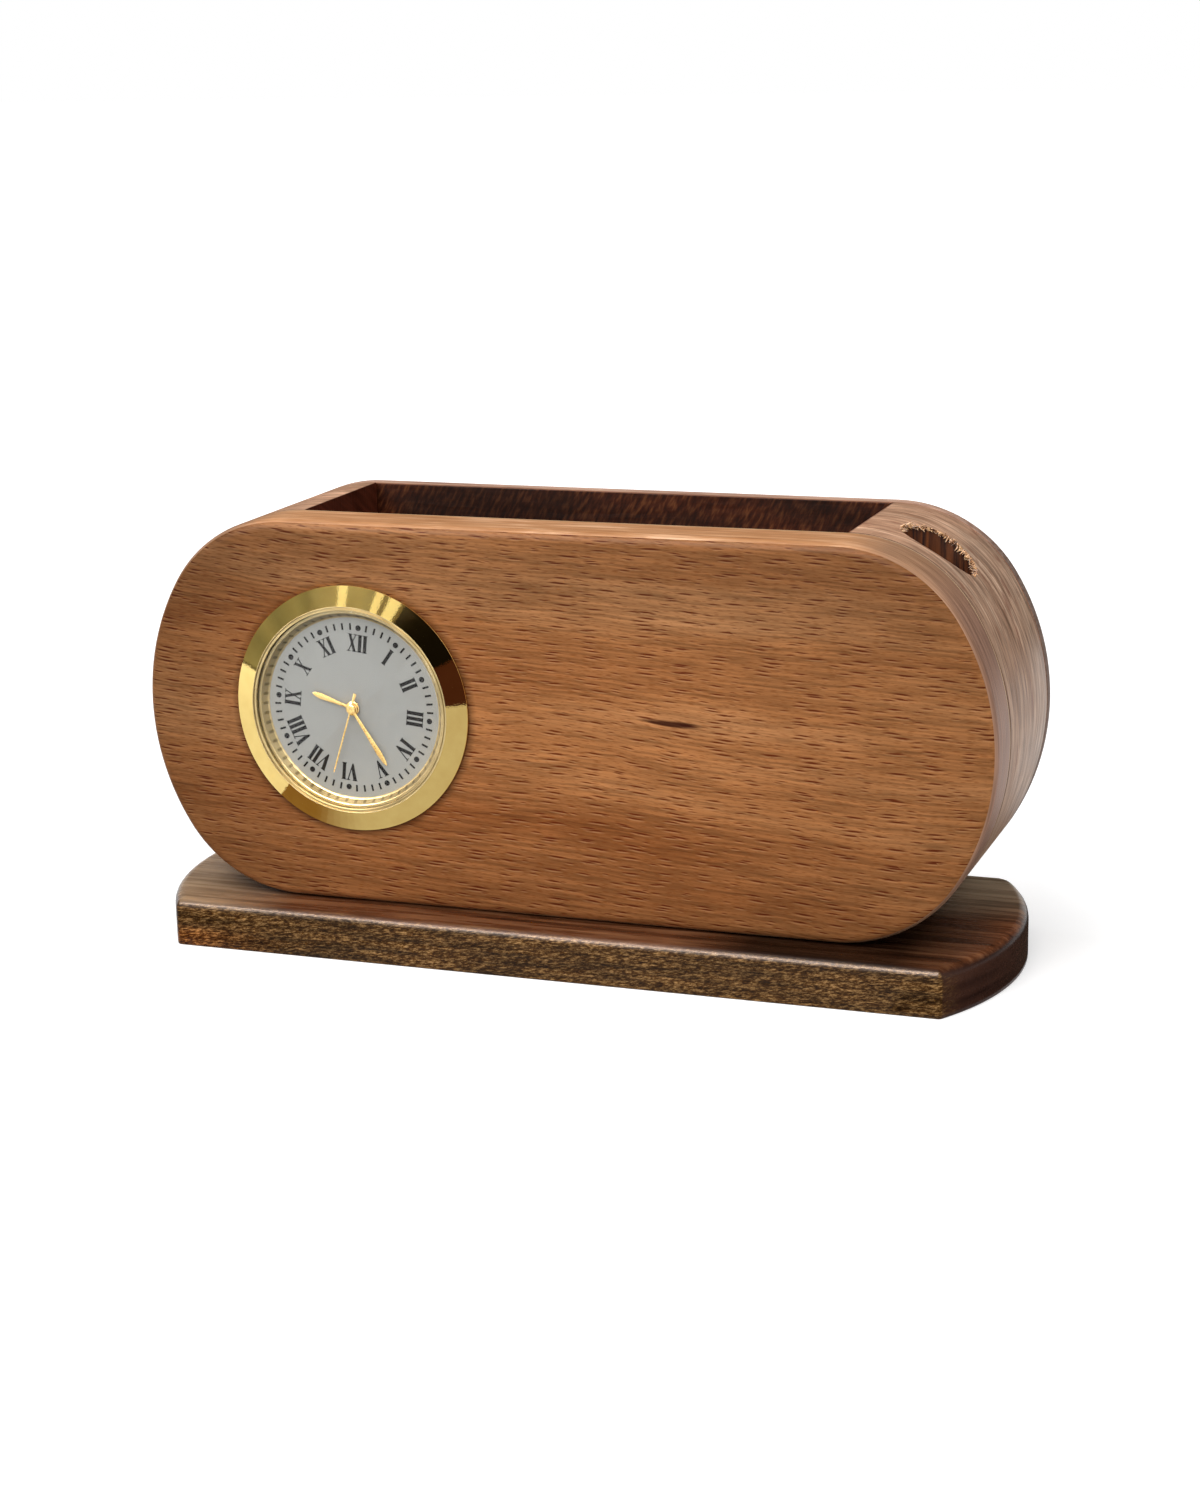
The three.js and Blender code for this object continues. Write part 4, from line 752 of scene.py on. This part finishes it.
def end_blocks():
    """Both blocks with their pilot holes, and the pen hole in the right one."""
    profile = rounded_edges(block_low.y, block_high.y, BLOCK_ROUND, BLOCK_ROUND, 4)
    for name, node, side in (("left_block", "left_end_block", -1), ("right_block", "right_end_block", 1)):
        drill = bmesh.new()
        for x, y in screw_places():
            if x * side > 0:
                drill_bit(drill, x, y, [(SCREW_SHANK, 0), (SCREW_SHANK, SCREW_HEAD_Z + SCREW_LENGTH)], PILOT_STEPS)
        if side > 0:
            drill_bit(drill, *PEN_HOLE, [(DRILL_POINT, PEN_HOLE_FLOOR), (PEN_HOLE_RADIUS, PEN_HOLE_FLOOR + DRILL_CONE),
                                         (PEN_HOLE_RADIUS, face_high.z + DRILL_START)], PEN_HOLE_STEPS)
        bm = bmesh.new()
        loft(bm, upright_rings(bm, lambda inset: block_outline(inset, side), profile))
        drilled = cut_by(mesh_of(bm, "block"), mesh_of(drill, "block_drill"))
        piece_of(drilled, name, [BLOCK_WOOD], "stand", "pale_wood", [node], BOARD_CREASE)


def base_board():
    bm = bmesh.new()
    loft(bm, [[corner_at(bm, x, y, z) for x, y in base_outline(inset)]
              for inset, z in rounded_edges(base_low.z, base_high.z, BASE_FOOT_ROUND, BASE_ROUND)])
    drill = bmesh.new()
    for x, y in screw_places():
        drill_bit(drill, x, y, [
            (SINK_RADIUS, SCREW_HOLE_FROM), (SINK_RADIUS, SCREW_HEAD_Z),
            (CLEARANCE_RADIUS, SCREW_HEAD_Z + SCREW_HEAD_DEPTH), (CLEARANCE_RADIUS, SCREW_HOLE_TO)], SCREW_HOLE_STEPS)
    drilled = cut_by(mesh_of(bm, "base"), mesh_of(drill, "screw_holes"))
    piece_of(drilled, "base_board", [BASE_WOOD], "stand", "dark_wood", ["base_plate"], BOARD_CREASE)


class Nodes(Tree):
    """A Geometry Nodes tree being built, with named inputs."""

    def __init__(self, name):
        super().__init__(bpy.data.node_groups.new(name, "GeometryNodeTree"))
        for way in ("INPUT", "OUTPUT"):
            self.tree.interface.new_socket("Geometry", in_out=way, socket_type="NodeSocketGeometry")
        self.identifiers = {}
        self.group_in = self.node("NodeGroupInput")
        self.group_out = self.node("NodeGroupOutput")

    def input(self, name, kind="Float"):
        made = self.tree.interface.new_socket(name, in_out="INPUT", socket_type=f"NodeSocket{kind}")
        self.identifiers[name] = made.identifier
        return self.group_in.outputs[name]

    def made(self, kind, inputs=None, **settings):
        """The geometry of a new node."""
        return self.node(f"GeometryNode{kind}", inputs, **settings).outputs[0]

    def joined(self, *parts):
        join = self.node("GeometryNodeJoinGeometry")
        for part in parts:
            self.tree.links.new(part, join.inputs[0])
        return join.outputs[0]

    def cone(self, sides, bottom, top, depth):
        return self.made("MeshCone", {"Vertices": sides, "Radius Top": top, "Radius Bottom": bottom, "Depth": depth})

    def close(self, instances, finish):
        """Ends the tree in realised geometry with its material."""
        real = self.made("RealizeInstances", {"Geometry": instances})
        coated = self.made("SetMaterial", {"Geometry": real, "Material": finish})
        self.tree.links.new(coated, self.group_out.inputs[0])

    def run(self, points, values):
        """The plain mesh that the tree makes from points and these input values."""
        carrier = in_scene("carrier", mesh_from("points", points))
        modifier = carrier.modifiers.new("made", "NODES")
        modifier.node_group = self.tree
        for name, value in values.items():
            modifier[self.identifiers[name]] = value
        made = bpy.data.meshes.new_from_object(carrier.evaluated_get(bpy.context.evaluated_depsgraph_get()))
        bpy.data.objects.remove(carrier)
        made.materials.clear()
        return made


def wood_screws():
    """Countersunk cross-headed screws up through the base."""
    n = Nodes("wood_screws")
    head, sink, shank, length, slot = (
        n.input(name) for name in ("Head Radius", "Head Depth", "Shank Radius", "Length", "Slot Width"))
    wide = n.times(head, SCREW_SLOT_REACH)
    bars = n.joined(*(n.made("MeshCube", {"Size": n.combined(X=x, Y=y, Z=sink)})
                      for x, y in ((wide, slot), (slot, wide))))
    cut = n.made("MeshBoolean", {"Mesh 1": n.cone(32, head, shank, sink), "Mesh 2": bars}, operation="DIFFERENCE")
    core = n.times(shank, SCREW_CORE)
    stem = n.maths("SUBTRACT", length, n.times(sink, 2.0))
    spiral = n.made("CurveSpiral", {
        "Resolution": 14, "Rotations": THREAD_TURNS, "Start Radius": n.times(shank, THREAD_WIDE),
        "End Radius": n.times(core, THREAD_NARROW), "Height": n.times(stem, THREAD_HEIGHT)})
    ridge = n.made("CurvePrimitiveCircle", {"Resolution": 4, "Radius": n.times(shank, THREAD_RIDGE)})
    thread = n.made("CurveToMesh", {"Curve": spiral, "Profile Curve": ridge})
    raised = [n.made("Transform", {"Geometry": part, "Translation": n.combined(Z=height)}) for part, height in (
        (n.cone(16, shank, core, stem), sink),
        (n.cone(16, core, SCREW_TIP * MM, sink), n.maths("ADD", sink, stem)),
        (thread, n.maths("MULTIPLY_ADD", stem, THREAD_FROM, sink)))]
    screws = n.made("InstanceOnPoints", {"Points": n.group_in.outputs[0], "Instance": n.joined(cut, *raised)})
    n.close(screws, STEEL)
    made = n.run([(x * MM, y * MM, SCREW_HEAD_Z * MM) for x, y in screw_places()], {
        "Head Radius": SCREW_HEAD_RADIUS * MM, "Head Depth": SCREW_HEAD_DEPTH * MM, "Shank Radius": SCREW_SHANK * MM,
        "Length": SCREW_LENGTH * MM, "Slot Width": SCREW_SLOT * MM})
    piece_of(made, "wood_screws", [STEEL], "stand", "steel", SCREW_NODES, 30)


def rim_splinters():
    """Torn fibres along the far rim of the pen hole, rooted in the block."""
    n = Nodes("rim_splinters")
    length, width = n.input("Length"), n.input("Width")
    axis, seed = n.input("Axis", "Vector"), n.input("Seed", "Int")
    sliver = n.cone(5, width, n.times(width, SPLINTER_TIP), length)
    inward = n.vector_maths("SUBTRACT", axis, n.made("InputPosition"))
    level = n.vector_maths("NORMALIZE", n.vector_maths("MULTIPLY", inward, (1, 1, 0)))
    least, most = SPLINTER_STRAY
    stray = n.node("FunctionNodeRandomValue", {"Min": least, "Max": most, "Seed": seed},
                   data_type="FLOAT_VECTOR").outputs[0]
    bent = n.vector_maths("ADD", level, stray)
    facing = n.node("FunctionNodeAlignRotationToVector", {"Vector": bent}, axis="Z").outputs[0]
    short, long = SPLINTER_SIZES
    size = n.node("FunctionNodeRandomValue", {2: short, 3: long, "Seed": seed}, data_type="FLOAT").outputs[1]
    n.close(n.made("InstanceOnPoints", {"Points": n.group_in.outputs[0], "Instance": sliver, "Rotation": facing,
                                        "Scale": size}), SPLINTER_WOOD)
    roots = []
    for step, drop in SPLINTER_ROWS:
        for x, y in arc(*PEN_HOLE, PEN_HOLE_RADIUS + step, SPLINTER_FROM, SPLINTER_TO, SPLINTER_COUNT):
            z = HOLDER_Z + CORNER_UP + math.sqrt(CORNER_RADIUS ** 2 - (x - CORNER_X) ** 2) - drop
            roots.append((x * MM, y * MM, z * MM))
    made = n.run(roots, {"Length": SPLINTER_LENGTH * MM, "Width": SPLINTER_WIDTH * MM, "Seed": SPLINTER_SEED,
                         "Axis": (PEN_HOLE[0] * MM, PEN_HOLE[1] * MM, 0.0)})
    piece_of(made, "rim_splinters", [SPLINTER_WOOD], "stand", "pale_wood")


def on_clock(bm, angle, across, out, depth):
    """A corner on the clock: an angle clockwise from upright, a step along the way round and a distance out."""
    return corner_at(bm, CLOCK_X + out * math.sin(angle) + across * math.cos(angle), FACE_Y + depth,
                     CLOCK_Z + out * math.cos(angle) - across * math.sin(angle))


def turned_piece(name, profile, finishes, slot, node, steps=128, sharp=30, lip=0):
    """A turned piece of the clock; inside the lip it has its second finish."""
    bm = bmesh.new()
    rings = [[on_clock(bm, a, 0, r, d) for a in around(steps)] for r, d in profile]
    for ((r, _), (next_r, _)), (a, b) in zip(neighbours(profile), neighbours(rings)):
        if r or next_r:
            skin(bm, a, b, int(r < lip))
    piece_from(bm, name, finishes, "insert", slot, [node], sharp)


def clock_front():
    turned_piece("bezel_ring", BEZEL_PROFILE, [POLISHED_GOLD, SATIN_RING], "gold", "bezel", BEZEL_STEPS, 6, BEZEL_LIP)
    turned_piece("lens_disc", LENS_PROFILE, [LENS_GLASS], "glass", "lens")
    turned_piece("dial_rim", DIAL_RIM_PROFILE, [SATIN_RING], "gold", "dial_ring", BEZEL_STEPS, 20)
    turned_piece("dial_face", DIAL_PROFILE, [DIAL_PAINT], "dial_white", "dial")


def roman_letters():
    """Width and outline of each Roman letter, with its serifs."""
    h, s = NUMERAL_HEIGHT, SERIF
    top = h - s

    def level(share):
        """A height between the serifs, from the top down."""
        return top - share * (h - 2 * s)

    return {
        "I": (1.0, [(0, 0), (1.0, 0), (1.0, s), (0.86, s), (0.86, top), (1.0, top), (1.0, h), (0, h), (0, top),
                    (0.14, top), (0.14, s), (0, s)]),
        "V": (2.4, [(1.04, 0), (1.3, 0), (2.16, top), (2.4, top), (2.4, h), (1.6, h), (1.6, top), (1.92, top),
                    (1.42, 0.37 * top), (0.9, top), (1.04, top), (1.04, h), (0, h), (0, top), (0.12, top)]),
        "X": (2.1, [(0, 0), (0.82, 0), (0.82, s), (0.5, s), (0.925, level(0.681)), (1.3, s), (1.12, s), (1.12, 0),
                    (2.1, 0), (2.1, s), (1.88, s), (1.268, level(0.432)), (1.84, top), (2.1, top), (2.1, h), (1.3, h),
                    (1.3, top), (1.62, top), (1.173, level(0.339)), (0.82, top), (1.02, top), (1.02, h), (0, h),
                    (0, top), (0.24, top), (0.821, level(0.583)), (0.28, s), (0, s)])}


def dial_numerals():
    letters = roman_letters()
    bm = bmesh.new()
    for hour, text in enumerate(NUMERALS.split()):
        angle = DIAL_TURN + hour * math.pi / 6
        glyphs = [letters[c] for c in text]
        start = -(sum(width for width, _ in glyphs) + NUMERAL_GAP * (len(glyphs) - 1)) / 2
        for width, points in glyphs:
            rows = [[on_clock(bm, angle, start + u, NUMERAL_FOOT + v, DIAL_DEPTH - rise) for u, v in points]
                    for rise in (PRINT_RISE, PRINT_GAP)]
            skin(bm, *rows)
            for corners in tessellate_polygon([[Vector((u, v, 0)) for u, v in points]]):
                for row in rows:
                    bm.faces.new([row[i] for i in corners])
            start += width + NUMERAL_GAP
    piece_from(bm, "numerals", [DIAL_PRINT], "insert", "black_plastic")


def hands():
    """Three ridged blades on ring-shaped hubs, at the time shown."""
    hours, minutes, seconds = TIME_SHOWN
    minutes += seconds / 60
    hours += minutes / 60
    for degrees, (name, body, node, depth, hub, bore, stations) in zip((hours * 30, minutes * 6, seconds * 6),
                                                                       HAND_SHAPES):
        angle = DIAL_TURN + math.radians(degrees)
        ridge, back = depth + HAND_THICKNESS * HAND_RIDGE, depth + HAND_THICKNESS
        bm = bmesh.new()
        loft(bm, [[on_clock(bm, angle, across, out, d)
                   for across, d in ((-w, ridge), (0, depth), (w, ridge), (w, back), (-w, back))]
                  for out, w in stations])
        collar = [[on_clock(bm, angle, r * math.cos(a), r * math.sin(a), d) for a in around(HUB_STEPS)] for r, d in (
            (bore, depth + HUB_DROP), (bore, back), (hub, back), (hub, ridge), (hub - HUB_EDGE, depth + HUB_DROP))]
        for a, b in neighbours(collar):
            skin(bm, a, b)
        piece_from(bm, name, [HAND_GOLD], body, "gold", [node], 25)


def ring_on_clock(n, count, mark, turn=0.0, **settings):
    """Marks on a circle, stood upright at the clock's place."""
    ring = n.made("MeshCircle", {"Vertices": count, "Radius": n.input("Radius")})
    marks = n.made("InstanceOnPoints", {"Points": ring, "Instance": mark, **settings})
    return n.made("Transform", {"Geometry": marks, "Translation": n.input("Place", "Vector"),
                                "Rotation": n.combined(X=math.pi / 2, Y=turn)})


def dial_marks(name, count, radius, width, length=None):
    """Printed marks round the dial: strokes at the minutes where a length is given, or dots at the hours."""
    n = Nodes(name)
    breadth, rise, turn = n.input("Width"), n.input("Rise"), n.input("Turn")
    values = {"Radius": radius * MM, "Width": width * MM, "Rise": PRINT_RISE * MM, "Turn": DIAL_TURN,
              "Place": (CLOCK_X * MM, (FACE_Y + DIAL_DEPTH - PRINT_RISE / 2 - PRINT_GAP) * MM, CLOCK_Z * MM)}
    index = n.made("InputIndex")
    settings = {"Rotation": n.combined(Z=n.times(index, 2 * math.pi / count))}
    if length:
        values["Length"] = length * MM
        mark = n.made("MeshCube", {"Size": n.combined(X=n.input("Length"), Y=breadth, Z=rise)})
        settings["Selection"] = n.node("FunctionNodeCompare", {"A": n.maths("MODULO", index, 5.0), "B": 0.5},
                                       operation="GREATER_THAN").outputs[0]
    else:
        mark = n.made("MeshCylinder", {"Vertices": 16, "Radius": n.times(breadth, 0.5), "Depth": rise})
    n.close(ring_on_clock(n, count, mark, turn, **settings), DIAL_PRINT)
    piece_of(n.run([], values), name, [DIAL_PRINT], "insert", "black_plastic")


def grip_ribs():
    """Low ribs round the rubber band that holds the clock in its hole."""
    n = Nodes("grip_ribs")
    bar = n.made("MeshCylinder", {"Vertices": 8, "Radius": n.input("Rib Radius"), "Depth": n.input("Length")})
    n.close(ring_on_clock(n, n.input("Count", "Int"), bar), RUBBER)
    middle = (CLOCK_X * MM, (band_low.y + band_high.y) / 2 * MM, CLOCK_Z * MM)
    made = n.run([], {"Radius": RIB_RING * MM, "Rib Radius": RIB_RADIUS * MM, "Length": RIB_LENGTH * MM,
                      "Count": RIB_COUNT, "Place": middle})
    piece_of(made, "grip_ribs", [RUBBER], "insert", "rubber")


def finish_cad_nodes():
    """Gives every CAD node that still shows the finish of its slot."""
    slots = {s["node"]: s["material_slot"] for s in frame["record"]["subparts"]}
    for name, node in frame["nodes"].items():
        if not node.hide_render:
            node.data.materials.clear()
            node.data.materials.append(SLOT_FINISHES[slots[name]])


# Studio cards round the clock: plain tones, and where each starts and ends in degrees clockwise round the bezel
DIM_CARD = (0.065, 0.055, 0.03)
GREY_CARD = (0.31, 0.31, 0.23)
PALE_CARD = (0.44, 0.43, 0.32)
WHITE_CARD = (1.4, 1.4, 1.27)
SHADED_CARD = (0.24, 0.2, 0.12)
BLACK_CARD = (0.009, 0.007, 0.005)
RED_CARD = (0.09, 0.03, 0.02)
FLOOR_CARD = (0.86, 0.83, 0.79)
AMBER_CARD = (0.38, 0.23, 0.09)
MIRRORED = (
    (-72, DIM_CARD), (-70, DIM_CARD), (-70, PALE_CARD), (-55, GREY_CARD), (-48, PALE_CARD), (-40, GREY_CARD),
    (-28, PALE_CARD), (-20, GREY_CARD), (-4, PALE_CARD), (-4, WHITE_CARD), (1, WHITE_CARD), (1, PALE_CARD),
    (8, PALE_CARD), (15, GREY_CARD), (15, WHITE_CARD), (19, WHITE_CARD), (19, SHADED_CARD), (22, SHADED_CARD),
    (22, WHITE_CARD), (28, WHITE_CARD), (28, SHADED_CARD), (30, SHADED_CARD), (30, BLACK_CARD), (63, BLACK_CARD),
    (63, RED_CARD), (85, RED_CARD), (85, FLOOR_CARD), (172, FLOOR_CARD), (202, AMBER_CARD), (221, AMBER_CARD))

# The bezel's cone, as its cards need it: the middle of its slope, and how its face leans out and forward
CONE_MIDDLE = 23
CONE_DEPTH = -1.3
CONE_RISE = 0.3706
CONE_FACE = 0.9289

# From here on the studio's lengths are in metres
CARD_DISTANCE = 0.6
CARD_HALF_WIDTH = 0.09
CARD_STEP = 4
CARD_AHEAD = 0.5
CARD_FLOOR = 0.001
LEVEL_SIGHT = -0.03
FLAG_TONE = (0.5, 0.4, 0.3)
FLAGS = (
    ("rear_flag", [(-0.7, 0.15, 0.045), (0.5, 0.15, 0.045), (0.5, 0.15, 0.5), (-0.7, 0.15, 0.5)], 0.03),
    ("low_flag", [(-0.03, 0.12, 0.001), (0.075, 0.12, 0.001), (0.075, 0.12, 0.06), (-0.03, 0.12, 0.06)], 0.03),
    ("side_flag", [(0.07, -0.06, 0.0008), (0.15, -0.06, 0.0008), (0.15, 0.08, 0.0008), (0.07, 0.08, 0.0008)], 0.1))
STRIP_CORNERS = [(-0.75, -0.84, 0.46), (0.1, -0.84, 0.46), (0.1, -0.42, 0.8), (-0.75, -0.42, 0.8)]
STRIP_TONE = (1.0, 0.88, 0.78)
STRIP_STRENGTH = 75.0
ONE_FACE = [(0, 1, 2, 3)]
FLOOR_CORNERS = [(-6, -6, 0), (6, -6, 0), (6, 6, 0), (-6, 6, 0)]
FLOOR_TONE = 0.8
FLOOR_GLOW = {"From Min": 0.2, "From Max": 0.9, "To Min": 0.36, "To Max": 1.0}
WORLD_GLOW = {"To Min": 0.4, "To Max": 1.0}

# Lamps: name, place, size and watts, all aimed at one point
LAMP_AIM = Vector((0, 0, 0.05))
LAMPS = (("key", (-0.1, -0.95, 0.85), 0.6, 8.0), ("fill", (0.9, -0.5, 0.7), 0.8, 6.5),
         ("top", (-0.36, -0.2, 1.0), 0.55, 5.0))

# The photograph's camera: angles in degrees round and above the front, and its roll
CAMERA_AZIMUTH, CAMERA_ELEVATION, CAMERA_ROLL = 20.001, 14.47, -1.181
CAMERA_TARGET = Vector((0.010066, -0.0224, 0.0451))
CAMERA_DISTANCE = 0.548294
CAMERA_LENS = 68.13
CAMERA_SENSOR = 36


def glowing(name, tone, strength=1.0, layer=None):
    """A material that only gives light, of one tone or of the tones that a mesh layer holds."""
    finish = bpy.data.materials.new(name)
    finish.use_nodes = True
    tree = Tree(finish.node_tree)
    colour = tree.node("ShaderNodeVertexColor", layer_name=layer).outputs[0] if layer else toned(tone)
    glow = tree.node("ShaderNodeEmission", {"Color": colour, "Strength": strength})
    tree.node("ShaderNodeOutputMaterial", {"Surface": glow.outputs[0]})
    return finish


def mirror_only(name, points, faces, finish):
    """A stage card that only mirrors see."""
    mesh = mesh_from(name, points, faces)
    mesh.materials.append(finish)
    made = in_scene(name, mesh)
    made.visible_camera = False
    made.visible_diffuse = False
    made.visible_shadow = False
    made.visible_transmission = False
    return mesh


def mirror_cards():
    """Cards set where the bezel's cone looks at each angle, coloured along their length."""
    eye = bpy.context.scene.camera.matrix_world.translation

    def sight(degrees):
        """Where the cone shows a card at an angle round the bezel, and the way there."""
        a = math.radians(degrees)
        out = Vector((math.sin(a), 0, math.cos(a)))
        spot = Vector((CLOCK_X, FACE_Y + CONE_DEPTH, CLOCK_Z)) * MM + out * CONE_MIDDLE * MM
        normal = out * CONE_RISE + Vector((0, -1, 0)) * CONE_FACE
        view = (eye - spot).normalized()
        way = 2 * normal.dot(view) * normal - view
        far = CARD_DISTANCE if way.z > LEVEL_SIGHT else min(CARD_DISTANCE, (spot.z - 2 * CARD_FLOOR) / -way.z)
        return spot + way * far, way

    points, faces, tones = [], [], []
    for (start, first), (end, last) in zip(MIRRORED, MIRRORED[1:]):
        steps = math.ceil((end - start) / CARD_STEP)
        for i in range(steps + 1 if steps else 0):
            share = i / steps
            degrees = start + (end - start) * share
            place, way = sight(degrees)
            ahead = sight(degrees + CARD_AHEAD)[0] - place
            side = way.cross(ahead).normalized() * CARD_HALF_WIDTH
            lower = place - side
            points += [place + side, Vector((lower.x, lower.y, max(lower.z, CARD_FLOOR)))]
            tones += [[a + (b - a) * share for a, b in zip(first, last)]] * 2
            if i:
                n = len(points)
                faces.append((n - 4, n - 3, n - 1, n - 2))
    mesh = mirror_only("mirror_cards", points, faces, glowing("mirror_cards", None, layer="tone"))
    layer = mesh.color_attributes.new("tone", "FLOAT_COLOR", "POINT")
    for spot, tone in zip(layer.data, tones):
        spot.color = toned(tone)


def dark_flags():
    """Dark cards behind the object and beside its base, so that the varnish keeps its colour."""
    for name, corners, strength in FLAGS:
        mirror_only(name, corners, ONE_FACE, glowing(name, FLAG_TONE, strength))


def strip_light():
    """A long soft strip overhead that only the gloss sees: it draws the bright line along the rounded front edges."""
    mirror_only("strip_light", STRIP_CORNERS, ONE_FACE, glowing("strip_light", STRIP_TONE, STRIP_STRENGTH))


def looked_at(tree):
    """1 for rays from the camera, straight, mirrored or through the lens, and 0 for the light that spreads."""
    path = tree.node("ShaderNodeLightPath").outputs
    seen = path["Is Camera Ray"]
    for ray in ("Is Glossy Ray", "Is Transmission Ray"):
        seen = tree.maths("MAXIMUM", seen, path[ray])
    return seen


def floor():
    """A pale floor that keeps the shadow near the object and looks white further out."""
    f = Finish("floor")
    reach = f.node("ShaderNodeVectorMath", {0: f.coordinates["Object"]}, operation="LENGTH").outputs["Value"]
    far = f.node("ShaderNodeMapRange", {"Value": reach, **FLOOR_GLOW}).outputs[0]
    matt = f.node("ShaderNodeBsdfDiffuse", {"Color": toned(FLOOR_TONE)})
    glow = f.node("ShaderNodeEmission", {"Strength": f.times(looked_at(f), far)})
    both = f.node("ShaderNodeAddShader", {0: matt.outputs[0], 1: glow.outputs[0]})
    f.node("ShaderNodeOutputMaterial", {"Surface": both.outputs[0]})
    mesh = mesh_from("floor", FLOOR_CORNERS, ONE_FACE)
    mesh.materials.append(f.material)
    in_scene("floor", mesh)


def studio():
    """White surround and soft lamps."""
    world = bpy.data.worlds.new("studio")
    bpy.context.scene.world = world
    world.use_nodes = True
    tree = Tree(world.node_tree)
    level = tree.node("ShaderNodeMapRange", {"Value": looked_at(tree), **WORLD_GLOW}).outputs[0]
    sky = tree.node("ShaderNodeBackground", {"Color": toned(1.0), "Strength": level})
    tree.node("ShaderNodeOutputWorld", {"Surface": sky.outputs[0]})
    for name, place, size, watts in LAMPS:
        lamp = bpy.data.lights.new(name, "AREA")
        lamp.energy = watts
        lamp.size = size
        made = in_scene(name, lamp)
        made.location = place
        made.rotation_euler = (LAMP_AIM - Vector(place)).to_track_quat("-Z", "Y").to_euler()


def camera():
    """The photograph's view: a long lens a little right of and above the front."""
    azimuth, elevation, roll = (math.radians(a) for a in (CAMERA_AZIMUTH, CAMERA_ELEVATION, CAMERA_ROLL))
    back = Vector((math.sin(azimuth) * math.cos(elevation), -math.cos(azimuth) * math.cos(elevation),
                   math.sin(elevation)))
    right = Vector((math.cos(azimuth), math.sin(azimuth), 0))
    up = back.cross(right)
    across = math.cos(roll) * right + math.sin(roll) * up
    upward = math.cos(roll) * up - math.sin(roll) * right
    lens = bpy.data.cameras.new("camera")
    lens.sensor_width = CAMERA_SENSOR
    lens.lens = CAMERA_LENS
    made = in_scene("camera", lens)
    turn = Matrix((across, upward, back)).transposed().to_4x4()
    made.matrix_world = Matrix.Translation(CAMERA_TARGET + back * CAMERA_DISTANCE) @ turn
    bpy.context.scene.camera = made


front_board()
rear_board()
end_blocks()
base_board()
wood_screws()
rim_splinters()
clock_front()
dial_numerals()
dial_marks("minute_strokes", 60, STROKE_RING, STROKE_WIDTH, STROKE_LENGTH)
dial_marks("hour_dots", 12, DOT_RING, DOT_WIDTH)
hands()
grip_ribs()
finish_cad_nodes()
camera()
floor()
studio()
mirror_cards()
dark_flags()
strip_light()
bpy.context.scene.view_settings.view_transform = "Standard"

bpy.context.view_layer.update()
